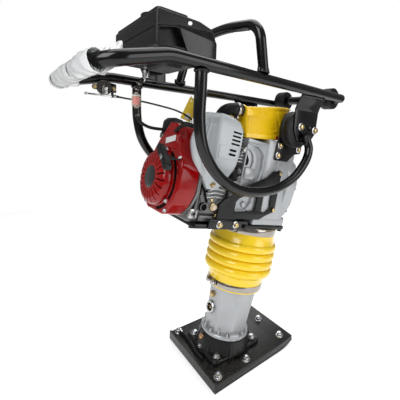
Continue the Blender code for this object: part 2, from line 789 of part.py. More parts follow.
def make_leg():
    """Eight-sided spring housing with its bottom ring, ribs, collar and neck."""
    low = CUP_TOP + GAP
    ring_top = low + LEG_RING_HEIGHT
    corner = 1 / math.cos(math.pi / 8)
    body = rod("leg", (0, 0, low + 0.001), (0, 0, LEG_BODY_TOP), LEG_FLAT_LOW * corner, LEG,
               LEG_FLAT_HIGH * corner, sides=8, turn=math.pi / 8)
    ring_profile = [(0, ring_top), (LEG_RING_RADIUS, ring_top), (LEG_RING_RADIUS, low), (0, low)]
    ring = turned("leg_ring", ring_profile, LEG)
    neck = turned("leg_neck", [(0, LEG_TOP), (LEG_NECK_RADIUS, LEG_TOP), (LEG_NECK_RADIUS, LEG_COLLAR_HIGH),
                               (LEG_COLLAR_RADIUS, LEG_COLLAR_HIGH), (LEG_COLLAR_RADIUS, LEG_COLLAR_LOW),
                               (0, LEG_COLLAR_LOW - 0.006)], LEG)
    unite(body, ring, neck)
    for index in range(8):
        turn = LEG @ Matrix.Rotation(index * math.pi / 4, 4, "Z")
        inner = LEG_FLAT_LOW - 0.004
        half = LEG_RIB_THICK / 2
        unite(body, box("leg_rib", (inner, -half, ring_top - 0.002),
                        (LEG_RING_RADIUS - 0.0015, half, ring_top + LEG_RIB_HEIGHT), turn))
    floor = low + LEG_FLOOR_THICK
    bore_profile = [(0, LEG_TOP + 0.01), (LEG_BORE, LEG_TOP + 0.01), (LEG_BORE, floor), (0, floor)]
    bore = turned("leg_bore", bore_profile, LEG)
    cut(body, bore)
    keep(body, "leg_housing", SILVER)

    flat = leg_flat_at(FILL_PLUG_HEIGHT + FILL_PLUG_RADIUS) + GAP
    plug = rod("plug", (-flat, PLUG_Y, FILL_PLUG_HEIGHT), (-flat - PLUG_LENGTH, PLUG_Y, FILL_PLUG_HEIGHT),
               FILL_PLUG_RADIUS, LEG, sides=6)
    keep(plug, "leg_fill_plug", GOLD)
    flat = leg_flat_at(SIGHT_HEIGHT + SIGHT_RADIUS) + GAP
    sight = rod("sight", (-flat, PLUG_Y, SIGHT_HEIGHT), (-flat - PLUG_LENGTH, PLUG_Y, SIGHT_HEIGHT),
                SIGHT_RADIUS, LEG, sides=20)
    cut(sight, rod("sight_socket", (-flat - PLUG_LENGTH / 2, PLUG_Y, SIGHT_HEIGHT),
                   (-flat - 2 * PLUG_LENGTH, PLUG_Y, SIGHT_HEIGHT), SIGHT_SOCKET, LEG, sides=6))
    keep(sight, "oil_sight", STEEL)


def make_springs():
    """The springs under and over the piston, each one unbroken wire."""
    piston_top = PISTON_LOW + PISTON_THICK
    floor = CUP_TOP + GAP + LEG_FLOOR_THICK
    seats = (("spring_lower", floor, PISTON_LOW), ("spring_upper", piston_top, BUSH_LOW))
    for name, low, high in seats:
        start = low + SPRING_WIRE + 2 * GAP
        rise = high - low - 2 * SPRING_WIRE - 4 * GAP
        pitch = rise / SPRING_TURNS
        print(name, "least gap between turns", round((pitch - 2 * SPRING_WIRE) * 1000, 2), "mm")
        points = []
        for index in range(SPRING_TURNS * SPRING_POINTS + 1):
            angle = 2 * math.pi * index / SPRING_POINTS
            height = start + rise * index / (SPRING_TURNS * SPRING_POINTS)
            points.append((SPRING_RADIUS * math.cos(angle), SPRING_RADIUS * math.sin(angle), height))
        keep(tube(name, points, SPRING_WIRE, LEG, resolution=1), name, STEEL)


def make_ram():
    """Piston with its rod and fork, the bush it runs in, the wrist pin and the connecting rod."""
    bush_radius = LEG_BORE - 2 * GAP
    bush_hole = ROD_RADIUS + BEARING_CLEAR
    bush = turned("bush", [(bush_hole, BUSH_LOW + BUSH_THICK), (bush_radius, BUSH_LOW + BUSH_THICK),
                           (bush_radius, BUSH_LOW), (bush_hole, BUSH_LOW)], LEG, closed=True)
    keep(bush, "guide_bush", STEEL)

    piston_top = PISTON_LOW + PISTON_THICK
    piston = turned("piston", [(0, ROD_TOP), (ROD_RADIUS, ROD_TOP), (ROD_RADIUS, piston_top),
                               (PISTON_RADIUS, piston_top), (PISTON_RADIUS, PISTON_LOW), (0, PISTON_LOW)], LEG)
    unite(piston, box("fork", (-FORK_HALF, -ROD_RADIUS, FORK_LOW), (FORK_HALF, ROD_RADIUS, FORK_TOP), LEG))
    slot = box("fork_slot", (-FORK_SLOT, -0.05, FORK_SLOT_LOW), (FORK_SLOT, 0.05, FORK_TOP + 0.01), LEG)
    pin_hole = rod("pin_hole", (-0.05, 0, WRIST_HEIGHT), (0.05, 0, WRIST_HEIGHT), WRIST_RADIUS + GAP, LEG,
                   sides=16)
    cut(piston, slot, pin_hole)
    keep(piston, "piston_rod", STEEL)
    keep(rod("pin", (-FORK_HALF + GAP, 0, WRIST_HEIGHT), (FORK_HALF - GAP, 0, WRIST_HEIGHT),
             WRIST_RADIUS, LEG, sides=16), "wrist_pin", STEEL)

    crank_pin = gear_height() - CRANK_RADIUS
    small = arc((0, 0), CON_SMALL_RADIUS, math.pi + 0.15, 2 * math.pi - 0.15, 8)
    big = arc((0, crank_pin - WRIST_HEIGHT), CON_BIG_RADIUS, -0.9, math.pi + 0.9, 14)
    holes = [circle((0, 0), WRIST_RADIUS + GAP), circle((0, crank_pin - WRIST_HEIGHT), CRANK_PIN_RADIUS + GAP)]
    place = LEG @ Matrix.Translation((0, 0, WRIST_HEIGHT))
    con_rod = rear_sheet("con_rod", [small + big] + holes, -CON_ROD_HALF, CON_ROD_HALF, place)
    keep(con_rod, "connecting_rod", STEEL)


def gear_outline(teeth, turn, tip_backlash):
    """Outline of a spur gear with involute flanks, one tooth centred on the angle given."""
    pitch = GEAR_MODULE * teeth / 2
    base = pitch * math.cos(PRESSURE_ANGLE)
    tip = pitch + ADDENDUM * GEAR_MODULE
    root = pitch - DEDENDUM * GEAR_MODULE
    involute_at_pitch = math.tan(PRESSURE_ANGLE) - PRESSURE_ANGLE
    half_thickness = math.pi / (2 * teeth) - tip_backlash / (2 * pitch)
    radii = [root, max(base, root), pitch, tip] if teeth < 20 else [root, tip]
    flank = []
    for radius in radii:
        slope = math.acos(min(1.0, base / max(radius, base)))
        flank.append((radius, half_thickness + involute_at_pitch - (math.tan(slope) - slope)))
    outline = []
    for index in range(teeth):
        centre = turn + 2 * math.pi * index / teeth
        for radius, offset in flank:
            outline.append((radius * math.cos(centre - offset), radius * math.sin(centre - offset)))
        for radius, offset in reversed(flank):
            outline.append((radius * math.cos(centre + offset), radius * math.sin(centre + offset)))
    return outline


def gear_height():
    """Height of the crank gear's axis, so that the gears mesh at their pitch circles."""
    distance = GEAR_MODULE * (GEAR_TEETH + PINION_TEETH) / 2
    return ENGINE_AXIS + math.sqrt(distance ** 2 - ENGINE_Y ** 2)


def make_gears():
    """Crank gear with its shaft and pin, and the pinion shaft with the clutch drum."""
    toward_gear = math.atan2(gear_height() - ENGINE_AXIS, -ENGINE_Y)
    gear_turn = toward_gear + math.pi
    pinion_turn = toward_gear + math.pi / PINION_TEETH
    gear_place = LEG @ Matrix.Translation((0, 0, gear_height()))
    gear = rear_sheet("gear", [gear_outline(GEAR_TEETH, gear_turn, GEAR_BACKLASH)],
                      GEAR_BACK, GEAR_FRONT, gear_place)
    shaft_end = CASE_REAR + 0.001
    unite(gear, rod("gear_shaft", (GEAR_BACK + 0.002, 0, 0), (shaft_end, 0, 0), GEAR_SHAFT_RADIUS, gear_place),
          rod("crank_pin", (GEAR_FRONT - 0.002, 0, -CRANK_RADIUS),
              (-CON_ROD_HALF - CRANK_PIN_CLEAR, 0, -CRANK_RADIUS), CRANK_PIN_RADIUS, gear_place, sides=16))
    keep(gear, "crank_gear", STEEL)

    pinion_place = LEG @ Matrix.Translation((0, ENGINE_Y, ENGINE_AXIS))
    pinion = rear_sheet("pinion", [gear_outline(PINION_TEETH, pinion_turn, GEAR_BACKLASH)],
                        GEAR_BACK, GEAR_FRONT, pinion_place)
    base = DRUM_FRONT - DRUM_WALL
    drum = turned("drum", [(0, DRUM_FRONT), (DRUM_RADIUS, DRUM_FRONT), (DRUM_RADIUS, DRUM_BACK),
                           (DRUM_RADIUS - DRUM_WALL, DRUM_BACK), (DRUM_RADIUS - DRUM_WALL, base), (0, base)],
                  along_x(0, ENGINE_Y, ENGINE_AXIS))
    unite(pinion, rod("pinion_bar", (base + 0.001, 0, 0), (GEAR_FRONT + 0.004, 0, 0), PINION_SHAFT_RADIUS,
                      pinion_place, sides=20), drum)
    keep(pinion, "pinion_shaft", STEEL)


def make_guide():
    """Guide cylinder with the collar that the bellows grips, and the base flange over it."""
    top = BASE_LOW - GAP
    profile = [(GUIDE_INNER, top), (GUIDE_COLLAR_RADIUS, top), (GUIDE_COLLAR_RADIUS, GUIDE_COLLAR_LOW),
               (GUIDE_OUTER, GUIDE_COLLAR_LOW), (GUIDE_OUTER, GUIDE_LOW), (GUIDE_INNER, GUIDE_LOW)]
    keep(turned("guide", profile, LEG, closed=True), "guide_cylinder", STEEL)

    flange = box("base", (-BASE_HALF, -BASE_HALF, BASE_LOW), (BASE_HALF, BASE_HALF, BASE_LOW + BASE_THICK), LEG)
    corners = flange.modifiers.new("rounded_corners", "BEVEL")
    corners.width = BASE_CORNER
    corners.segments = 3
    corners.limit_method = "WEIGHT"
    weights = flange.data.attributes.new("bevel_weight_edge", "FLOAT", "EDGE")
    for edge in flange.data.edges:
        first, second = (flange.data.vertices[index].co for index in edge.vertices)
        weights.data[edge.index].value = 1.0 if abs(first.z - second.z) > BASE_THICK / 2 else 0.0
    cut(flange, rod("throat", (0, 0, BASE_LOW - 0.01), (0, 0, BASE_LOW + BASE_THICK + 0.01), GUIDE_INNER, LEG))
    bm = bmesh.new()
    for side_x in (-1, 1):
        for side_y in (-1, 1):
            x = side_x * (BASE_HALF - BASE_CORNER)
            y = side_y * (BASE_HALF - BASE_CORNER)
            add_rod(bm, (x, y, BASE_LOW - 0.008), (x, y, BASE_LOW + 0.003), 0.0075, sides=6)
    unite(flange, mesh_object("flange_bolts", bm, LEG))
    keep(flange, "base_flange", BLACK)


def make_bellows():
    """Bellows with its bore, four ribs and two cuffs, and the clamp bands round the cuffs."""
    pitch = (BULGE_HIGH - BULGE_LOW) / (BULGE_COUNT - 1)
    shape = [(BELLOWS_CUFF_HIGH, BELLOWS_HIGH), (BELLOWS_CUFF_HIGH, BELLOWS_CUFF_HIGH_FOOT)]
    for index in range(BULGE_COUNT):
        height = BULGE_HIGH - index * pitch
        shape.append((VALLEY_RADIUS, height + pitch / 2))
        shape.append((BULGE_RADIUS, height + pitch / 6))
        shape.append((BULGE_RADIUS, height - pitch / 6))
    shape += [(VALLEY_RADIUS, BULGE_LOW - pitch / 2), (BELLOWS_CUFF_LOW + 0.004, BELLOWS_CUFF_LOW_TOP + 0.014),
              (BELLOWS_CUFF_LOW, BELLOWS_CUFF_LOW_TOP), (BELLOWS_CUFF_LOW, BELLOWS_LOW)]
    bore = [(LEG_COLLAR_RADIUS + GAP, BELLOWS_LOW), (LEG_COLLAR_RADIUS + GAP, BELLOWS_CUFF_LOW_TOP)]
    for index in range(BULGE_COUNT):
        height = BULGE_LOW + index * pitch
        bore.append((VALLEY_RADIUS - BELLOWS_WALL, height - pitch / 2))
        bore.append((BULGE_RADIUS - BELLOWS_WALL, height))
    bore += [(VALLEY_RADIUS - BELLOWS_WALL, BULGE_HIGH + pitch / 2),
             (GUIDE_COLLAR_RADIUS + GAP, BELLOWS_CUFF_HIGH_FOOT), (GUIDE_COLLAR_RADIUS + GAP, BELLOWS_HIGH)]
    bellows = turned("bellows_form", shape + bore, LEG, closed=True)
    keep(bellows, "bellows", YELLOW)

    bands = (("lower_clamp", BELLOWS_CUFF_LOW, LOWER_CLAMP_LOW, LOWER_CLAMP_WIDTH, math.radians(200)),
             ("upper_clamp", BELLOWS_CUFF_HIGH, UPPER_CLAMP_LOW, UPPER_CLAMP_WIDTH, math.radians(225)))
    for name, cuff, low, width, screw_angle in bands:
        inner = cuff + GAP
        outer = inner + CLAMP_THICK
        high = low + width
        band = turned(name, [(inner, high), (outer, high), (outer, low), (inner, low)], LEG, closed=True)
        turn = LEG @ Matrix.Rotation(screw_angle, 4, "Z")
        housing = box("screw_housing", (outer - CLAMP_THICK / 2, -0.015, low + 0.001),
                      (outer + 0.010, 0.015, high - 0.001), turn)
        unite(band, housing)
        keep(band, name, STEEL)


def case_drum_outline(inset=0.0):
    """Rear-view outline of the crankcase's front, (y, w): an arch over a foot that narrows."""
    arch = arc((0, CASE_DRUM_MIDDLE), CASE_DRUM_RADIUS - inset, -CASE_DRUM_TURN, math.pi + CASE_DRUM_TURN, 24)
    cheek = CASE_CHEEK_HALF - inset
    chin = CASE_CHIN_HALF - inset
    return arch + [(-cheek, CASE_CHEEK), (-chin, CASE_CHIN_LOW + inset), (chin, CASE_CHIN_LOW + inset),
                   (cheek, CASE_CHEEK)]


def make_crankcase():
    """Crankcase casting, open at the bottom and the front, with its front cover."""
    foot = BASE_LOW + BASE_THICK + GAP
    case = box("case_main", (CASE_STEP, -CASE_HALF, foot + 0.02), (CASE_FRONT, CASE_HALF, CASE_TOP), LEG)
    unite(case,
          box("case_foot", (CASE_STEP - 0.006, -CASE_FOOT_HALF, foot),
              (CASE_FOOT_FRONT, CASE_FOOT_HALF, CASE_FOOT_TOP), LEG),
          box("case_rear", (CASE_REAR, CASE_REAR_INSET - CASE_HALF, CASE_REAR_FOOT),
              (CASE_STEP + 0.01, CASE_HALF - CASE_REAR_INSET, CASE_REAR_TOP), LEG),
          rear_sheet("case_drum", [case_drum_outline()], CASE_FRONT - 0.02, CASE_DRUM_FRONT, LEG))
    inner_y = CASE_HALF - CASE_WALL - CASE_REAR_INSET
    opening = COVER_DOME_RADIUS
    cut(case,
        box("case_cavity", (CASE_STEP + CASE_WALL, -inner_y, CASE_REAR_FOOT + CASE_WALL),
            (CASE_FRONT - CASE_WALL, inner_y, CASE_TOP - CASE_WALL - 0.002), LEG),
        box("case_rear_cavity", (CASE_REAR + CASE_WALL, -inner_y, CASE_REAR_FOOT + 3 * CASE_WALL),
            (CASE_STEP + 2 * CASE_WALL, inner_y, CASE_REAR_TOP - CASE_WALL), LEG),
        box("case_throat", (-CASE_THROAT, -CASE_THROAT, foot - 0.01), (CASE_THROAT, CASE_THROAT,
                                                                     CASE_REAR_FOOT + 2 * CASE_WALL), LEG),
        rod("case_window", (CASE_FRONT - 2 * CASE_WALL, 0, gear_height()),
            (CASE_DRUM_FRONT + 0.01, 0, gear_height()), opening, LEG, sides=32),
        rod("gear_bearing", (CASE_REAR - 0.01, 0, gear_height()), (CASE_REAR + 0.02, 0, gear_height()),
            GEAR_SHAFT_RADIUS + BEARING_CLEAR, LEG),
        rod("pinion_bearing", (CASE_REAR - 0.01, ENGINE_Y, ENGINE_AXIS), (CASE_REAR + 0.02, ENGINE_Y, ENGINE_AXIS),
            PINION_SHAFT_RADIUS + BEARING_CLEAR, LEG))
    rim = [(CASE_REAR, CASE_RIM_TOP), (-0.110, CASE_RIM_TOP), (-0.085, 0.712), (-0.0685, 0.690), (-0.068, 0.658),
           (-0.072, 0.626), (-0.078, 0.600), (-0.085, 0.545), (-0.098, 0.520), (CASE_REAR, 0.512)]
    middle = Vector((sum(u for u, w in rim), sum(w for u, w in rim))) / len(rim)
    recess = []
    for u, w in rim:
        toward = middle - Vector((u, w))
        recess.append(Vector((u, w)) + toward * CASE_RIM / toward.length)
    side_face = CASE_HALF - CASE_REAR_INSET
    for side in (-1, 1):
        floor = side * (side_face - CASE_RECESS)
        beyond = side * (side_face + 0.01)
        cut(case, side_sheet("recess", [recess], min(floor, beyond), max(floor, beyond), LEG))
    keep(case, "crankcase", SILVER)

    seat = CASE_DRUM_FRONT + GAP
    cover = rear_sheet("cover", [case_drum_outline(COVER_INSET)], seat, seat + COVER_FLANGE, LEG)
    unite(cover, turned("dome", [(0, seat + COVER_DOME), (COVER_DOME_RADIUS * 0.55, seat + COVER_DOME),
                                 (COVER_DOME_RADIUS, seat + COVER_FLANGE - 0.001), (0, seat + COVER_FLANGE - 0.001)],
                        along_x(0, 0, gear_height())))
    keep(cover, "crankcase_cover", SILVER)


def shroud_outline(inset=0.0):
    """Rear-view outline of the fan shroud, (y, w) about the leg frame."""
    side = 0.098 - inset
    low = 0.484 + inset
    high = 0.728 - inset
    points = [(ENGINE_Y - 0.045, low), (ENGINE_Y + 0.045, low), (ENGINE_Y + side - 0.018, low + 0.034),
              (ENGINE_Y + side, ENGINE_AXIS - 0.02), (ENGINE_Y + side, ENGINE_AXIS + 0.035),
              (ENGINE_Y + 0.056 - inset, 0.672), (ENGINE_Y + 0.006 - inset / 2, high),
              (ENGINE_Y - 0.030 + inset / 2, high - 0.004), (ENGINE_Y - 0.066 + inset, 0.668),
              (ENGINE_Y - side, ENGINE_AXIS + 0.048), (ENGINE_Y - side, ENGINE_AXIS - 0.02),
              (ENGINE_Y - side + 0.018, low + 0.034)]
    return points


def make_engine():
    """Engine block, finned cylinder, shaft with fan, shroud, muffler guard and air box."""
    deck_top = BASE_LOW + BASE_THICK
    block = box("block", (BLOCK_REAR, ENGINE_Y - BLOCK_HALF, deck_top + GAP),
                (BLOCK_FRONT, ENGINE_Y + BLOCK_HALF, BLOCK_HIGH), LEG)
    plate_rear = BLOCK_REAR - BACK_PLATE_THICK
    unite(block, rear_sheet("back_plate", [shroud_outline()], plate_rear, BLOCK_REAR + BACK_PLATE_LAP, LEG))
    cut(block, rod("shaft_bore", (plate_rear - 0.01, ENGINE_Y, ENGINE_AXIS),
                   (BLOCK_FRONT + 0.01, ENGINE_Y, ENGINE_AXIS), ENGINE_SHAFT_RADIUS + BEARING_CLEAR, LEG, sides=20))
    keep(block, "engine_block", SILVER)

    low = BLOCK_HIGH + GAP
    right = []
    for index in range(FIN_COUNT):
        base = low + 0.006 + index * FIN_PITCH
        right += [(CYLINDER_HALF, base), (FIN_HALF, base), (FIN_HALF, base + FIN_THICK),
                  (CYLINDER_HALF, base + FIN_THICK)]
    right = [(CYLINDER_HALF, low)] + right + [(CYLINDER_HALF, HEAD_TOP)]
    comb = [(ENGINE_Y + y, w) for y, w in right]
    comb += [(ENGINE_Y - y, w) for y, w in reversed(right)]
    cylinder = rear_sheet("barrel", [comb], CYLINDER_REAR, CYLINDER_FRONT, LEG)
    keep(cylinder, "engine_cylinder", SILVER)

    housing_front = CASE_REAR - GAP
    housing_rear = BLOCK_FRONT + GAP
    inner = CLUTCH_HOUSING_RADIUS - CLUTCH_HOUSING_WALL
    ring = turned("bell", [(inner, housing_front), (CLUTCH_HOUSING_RADIUS, housing_front),
                           (CLUTCH_HOUSING_RADIUS, housing_rear), (inner, housing_rear)],
                  along_x(0, ENGINE_Y, ENGINE_AXIS), closed=True)
    keep(ring, "clutch_housing", SILVER)

    blades = []
    for index in range(FAN_BLADES):
        angle = 2 * math.pi * index / FAN_BLADES
        for offset, radius in ((-0.20, FAN_CORE), (-0.045, FAN_CORE), (-0.03, FAN_RADIUS), (0.03, FAN_RADIUS),
                               (0.045, FAN_CORE)):
            blades.append((radius * math.cos(angle + offset), radius * math.sin(angle + offset)))
    place = LEG @ Matrix.Translation((0, ENGINE_Y, ENGINE_AXIS))
    shaft = rod("engine_bar", (SHROUD_REAR + 0.002, 0, 0), (DRUM_BACK + 0.012, 0, 0), ENGINE_SHAFT_RADIUS,
                place, sides=20)
    unite(shaft, rear_sheet("fan", [blades], FAN_FRONT, FAN_BACK, place),
          rod("flywheel", (FAN_BACK - 0.001, 0, 0), (FAN_BACK + 0.012, 0, 0), FAN_RADIUS, place, sides=32),
          rod("clutch_hub", (DRUM_BACK + 0.001, 0, 0), (DRUM_BACK + 0.013, 0, 0), CLUTCH_HUB_RADIUS, place,
              sides=24))
    keep(shaft, "engine_shaft", STEEL)

    shroud_front = plate_rear - GAP
    shroud = rear_sheet("shroud", [shroud_outline()], SHROUD_REAR, shroud_front, LEG)
    cut(shroud, rear_sheet("shroud_hollow", [shroud_outline(SHROUD_WALL)], SHROUD_REAR + SHROUD_WALL,
                           shroud_front + 0.01, LEG),
        rod("intake", (SHROUD_REAR - 0.01, ENGINE_Y, ENGINE_AXIS), (SHROUD_REAR + 0.01, ENGINE_Y, ENGINE_AXIS),
            SHROUD_INTAKE, LEG),
        rod("rope_hole", (SHROUD_REAR - 0.01, GRIP_CENTRE[1], GRIP_CENTRE[2]),
            (SHROUD_REAR + 0.01, GRIP_CENTRE[1], GRIP_CENTRE[2]), ROPE_RADIUS + 0.001, LEG, sides=12))
    keep(shroud, "fan_shroud", RED)
    make_recoil_starter()
    make_engine_sides()


def make_recoil_starter():
    """Slotted recoil cover with its post, the rope pulley on it and the pull grip."""
    seat = SHROUD_REAR - GAP
    axis = along_x(0, ENGINE_Y, ENGINE_AXIS)
    face = RECOIL_FACE
    inner_face = face + RECOIL_WALL
    chamfer = 0.008
    post_end = seat - 0.002
    profile = [(RECOIL_RADIUS - RECOIL_WALL, seat), (RECOIL_RADIUS, seat), (RECOIL_RADIUS, face + chamfer),
               (RECOIL_RADIUS - chamfer, face), (0, face)]
    inside = [(0, post_end), (RECOIL_POST, post_end), (RECOIL_POST, inner_face),
              (RECOIL_RADIUS - chamfer - RECOIL_WALL, inner_face),
              (RECOIL_RADIUS - RECOIL_WALL, face + chamfer + RECOIL_WALL)]
    cover = turned("recoil", inside + profile, axis)
    bm = bmesh.new()
    for index in range(RECOIL_SLOTS):
        turn = Matrix.Rotation(2 * math.pi * (index + 0.5) / RECOIL_SLOTS, 4, "Z")
        middle = (RECOIL_SLOT_IN + RECOIL_SLOT_OUT) / 2
        size = Matrix.Diagonal((RECOIL_SLOT_OUT - RECOIL_SLOT_IN, RECOIL_SLOT_WIDTH, 3 * RECOIL_WALL, 1))
        bmesh.ops.create_cube(bm, size=1.0, matrix=turn @ Matrix.Translation((middle, 0, face)) @ size)
    cut(cover, mesh_object("recoil_slots", bm, axis))
    keep(cover, "recoil_cover", RED)

    pulley_low = inner_face + 0.001
    hole = RECOIL_POST + BEARING_CLEAR
    pulley_high = pulley_low + PULLEY_THICK
    groove = PULLEY_RADIUS - 0.004
    middle = (pulley_low + pulley_high) / 2
    pulley = turned("pulley", [(hole, pulley_high), (PULLEY_RADIUS, pulley_high), (groove, middle),
                               (PULLEY_RADIUS, pulley_low), (hole, pulley_low)], axis, steps=20, closed=True)
    keep(pulley, "starter_pulley", BLACK_PLASTIC)

    place = LEG @ Matrix.Translation(GRIP_CENTRE) @ Matrix.Rotation(GRIP_TILT, 4, "X")
    half = GRIP_LENGTH / 2
    grip = box("handle_bar", (-GRIP_THICK, -half, -GRIP_WIDTH), (GRIP_THICK, half, GRIP_WIDTH), place)
    bevel = grip.modifiers.new("rounded_bar", "BEVEL")
    bevel.width = 0.005
    bevel.segments = 2
    start = (GRIP_CENTRE[0], GRIP_CENTRE[1], GRIP_CENTRE[2])
    unite(grip, rod("rope", start, (ROPE_END, GRIP_CENTRE[1], GRIP_CENTRE[2]), ROPE_RADIUS, LEG, sides=8))
    keep(grip, "starter_grip", BLACK_PLASTIC)


def guard_sections(inset):
    """Level sections of the muffler guard from its foot to its crown, drawn in by the wall for its hollow."""
    sections = []
    for height, rear, flank, edge, outer, front in GUARD_SHAPE:
        if inset and height < GUARD_HOLLOW_LOW:
            continue
        level = min(height, GUARD_HIGH - inset)
        near = outer + inset
        corner = 0.2 * (flank - outer)
        inner = min(GUARD_SWEEP * (0.01 - flank), (front - rear) / 2)
        sections.append([(rear + inner + inset, 0.01, level), (rear + inset, flank + inset / 2, level),
                         (edge + inset - 0.15 * (edge - rear), near + corner, level), (edge + inset / 2, near, level),
                         (front - GUARD_EDGE, near, level), (front - inset, near + GUARD_EDGE, level),
                         (front - inset, 0.01, level)])
    return sections


def make_engine_sides():
    """Muffler guard on the right, air box with the stop switch on the left."""
    fins = ENGINE_Y - FIN_HALF - GAP
    side = ENGINE_Y - BLOCK_HALF - GAP
    guard = loft("guard", guard_sections(0.0), LEG)
    cut(guard, loft("guard_hollow", guard_sections(GUARD_WALL), LEG),
        box("guard_trim", (GUARD_BACK - 0.02, fins, GUARD_FOOT - 0.02),
            (GUARD_FRONT + 0.02, 0.02, GUARD_HIGH + 0.02), LEG),
        box("block_clear", (GUARD_BACK - 0.03, side, GUARD_FOOT - 0.03),
            (GUARD_FRONT + 0.03, 0.01, BLOCK_HIGH + GAP), LEG),
        rear_sheet("shroud_clear", [shroud_outline(-2 * GAP)], SHROUD_REAR - 0.01,
                   BLOCK_REAR + BACK_PLATE_LAP + GAP, LEG))
    for u, w, length, height in GUARD_LOUVRES:
        cut(guard, box("louvre", (u - length, GUARD_OUTER - 0.01, w - height / 2),
                       (u, GUARD_OUTER + 2.5 * GUARD_WALL, w + height / 2), LEG))
    unite(guard, side_bolts("guard_bolt", [GUARD_BOLT], GUARD_BOLT_SEAT, -1, LEG))
    keep(guard, "muffler_guard", GREY_PLASTIC)

    air_inner = ENGINE_Y + FIN_HALF + GAP
    air_box = box("air_box_form", (AIR_BOX_REAR, air_inner, AIR_BOX_LOW),
                  (AIR_BOX_FRONT, AIR_BOX_OUTER, AIR_BOX_HIGH), LEG)
    keep(air_box, "carburettor_box", BLACK_PLASTIC)
    face = AIR_BOX_REAR - GAP
    knob = rod("knob", (face, SWITCH_Y, SWITCH_HEIGHT), (face - SWITCH_LENGTH, SWITCH_Y, SWITCH_HEIGHT),
               SWITCH_RADIUS, LEG, SWITCH_RADIUS * 0.85, sides=12)
    unite(knob, box("knob_bar", (face - SWITCH_LENGTH - 0.004, SWITCH_Y - 0.002, SWITCH_HEIGHT - SWITCH_RADIUS),
                    (face - SWITCH_LENGTH + 0.002, SWITCH_Y + 0.002, SWITCH_HEIGHT + SWITCH_RADIUS), LEG))
    keep(knob, "stop_switch", GREY_PLASTIC)


def make_deck():
    """Engine deck behind the base flange and the two side brackets that tie it to the crankcase."""
    top = BASE_LOW + BASE_THICK
    deck = box("deck", (DECK_REAR, -DECK_HALF, BASE_LOW), (-BASE_HALF - GAP, DECK_HALF, top), LEG)
    for side in (-1, 1):
        near = side * (DECK_HALF - 0.001)
        far = side * (DECK_HALF + DECK_LIP_THICK)
        unite(deck, box("lip", (DECK_LIP_REAR, min(near, far), BASE_LOW + 0.001),
                        (DECK_LIP_FRONT, max(near, far), DECK_LIP_TOP), LEG))
    keep(deck, "engine_deck", BLACK)

    foot = top + GAP
    outline = [(-0.218, foot), (-0.218, 0.530), (-0.200, 0.548), (-0.142, 0.583), (-0.114, 0.601),
               (-0.048, 0.631), (-0.022, 0.655), (0.006, 0.657), (0.013, 0.645), (0.0145, 0.5335), (0.006, 0.521),
               (-0.024, 0.508), (-0.048, 0.4945), (-0.145, 0.4925), (-0.150, foot)]
    rear_window = [(-0.160, 0.5135), (-0.162, 0.540), (-0.147, 0.5555), (-0.0765, 0.586), (-0.0745, 0.5215)]
    front_window = [(-0.0465, 0.520), (-0.0505, 0.597), (-0.017, 0.607), (-0.0155, 0.5747), (-0.010, 0.532),
                    (-0.027, 0.518)]
    for name, side in (("side_bracket_right", -1), ("side_bracket_left", 1)):
        near = side * (CASE_HALF + GAP)
        far = side * (CASE_HALF + GAP + BRACKET_THICK)
        bracket = side_sheet(name, [outline, rear_window, front_window], min(near, far), max(near, far), LEG)
        lip_clear = box("lip_clear", (DECK_LIP_REAR - 0.002, side * DECK_HALF - 0.001 - GAP, BASE_LOW),
                        (DECK_LIP_FRONT + 0.002, side * DECK_HALF + 0.001 + GAP, DECK_LIP_TOP + GAP), LEG)
        cut(bracket, lip_clear)
        keep(bracket, name, BLACK)


def case_top_at(x):
    """World height of the crankcase's sloping top."""
    return (CASE_TOP - (x - LEG_X) * math.sin(LEAN)) / math.cos(LEAN)


def make_air_filter():
    """Air filter housing with its nozzle and the elbow hose from the carburettor box."""
    step = (LEG @ Vector((CASE_STEP, 0, CASE_TOP))).x
    front = FILTER_FRONT - FILTER_FRONT_DRAFT
    outline = [(FILTER_REAR, FILTER_REAR_TOP), (FILTER_FRONT, FILTER_FRONT_TOP), (front, case_top_at(front) + GAP),
               (step, case_top_at(step) + 2 * GAP), (FILTER_REAR + FILTER_DRAFT, FILTER_REAR_FOOT)]
    housing = side_sheet("filter", [outline], FILTER_RIGHT, FILTER_LEFT)
    bevel = housing.modifiers.new("rounded_housing", "BEVEL")
    bevel.width = FILTER_ROUND
    bevel.segments = 2
    bevel.limit_method = "ANGLE"
    bevel.angle_limit = math.radians(40)
    nozzle_end = FILTER_REAR - NOZZLE_LENGTH
    unite(housing, rod("nozzle", (FILTER_REAR + 0.01, NOZZLE_Y, NOZZLE_Z), (nozzle_end, NOZZLE_Y, NOZZLE_Z),
                       NOZZLE_RADIUS))
    keep(housing, "air_filter", YELLOW)

    to_leg = LEG.inverted()
    end = to_leg @ Vector((nozzle_end - GAP, NOZZLE_Y, NOZZLE_Z))
    inlet = to_leg @ Vector((nozzle_end - GAP - 0.010, NOZZLE_Y, NOZZLE_Z))
    start = (AIR_BOX_FRONT + GAP, 0.074, 0.702)
    route = flowing_route([start, (AIR_BOX_FRONT + 0.016, 0.074, 0.702), (-0.196, 0.066, 0.706),
                           (-0.182, 0.046, 0.726), (-0.196, 0.022, 0.748), (-0.212, -0.008, 0.768),
                           (-0.221, -0.036, 0.787), (-0.214, -0.055, 0.799), inlet, end], 0.012)
    keep(tube("elbow", route, ELBOW_RADIUS, LEG), "intake_elbow", RUBBER)


def side_bolts(name, places, face, side, frame=WORLD):
    """Hexagon heads that stand out sideways from a face at the given (x, z) places."""
    bm = bmesh.new()
    for x, z in places:
        add_rod(bm, (x, side * (face - 0.002), z), (x, side * (face + BOLT_HEIGHT), z), BOLT_RADIUS, sides=6)
    return mesh_object(name, bm, frame)


def handle_side(x):
    """Distance of the side tubes from the middle plane, which close in toward the front."""
    return HANDLE_HALF - HANDLE_TOE * x


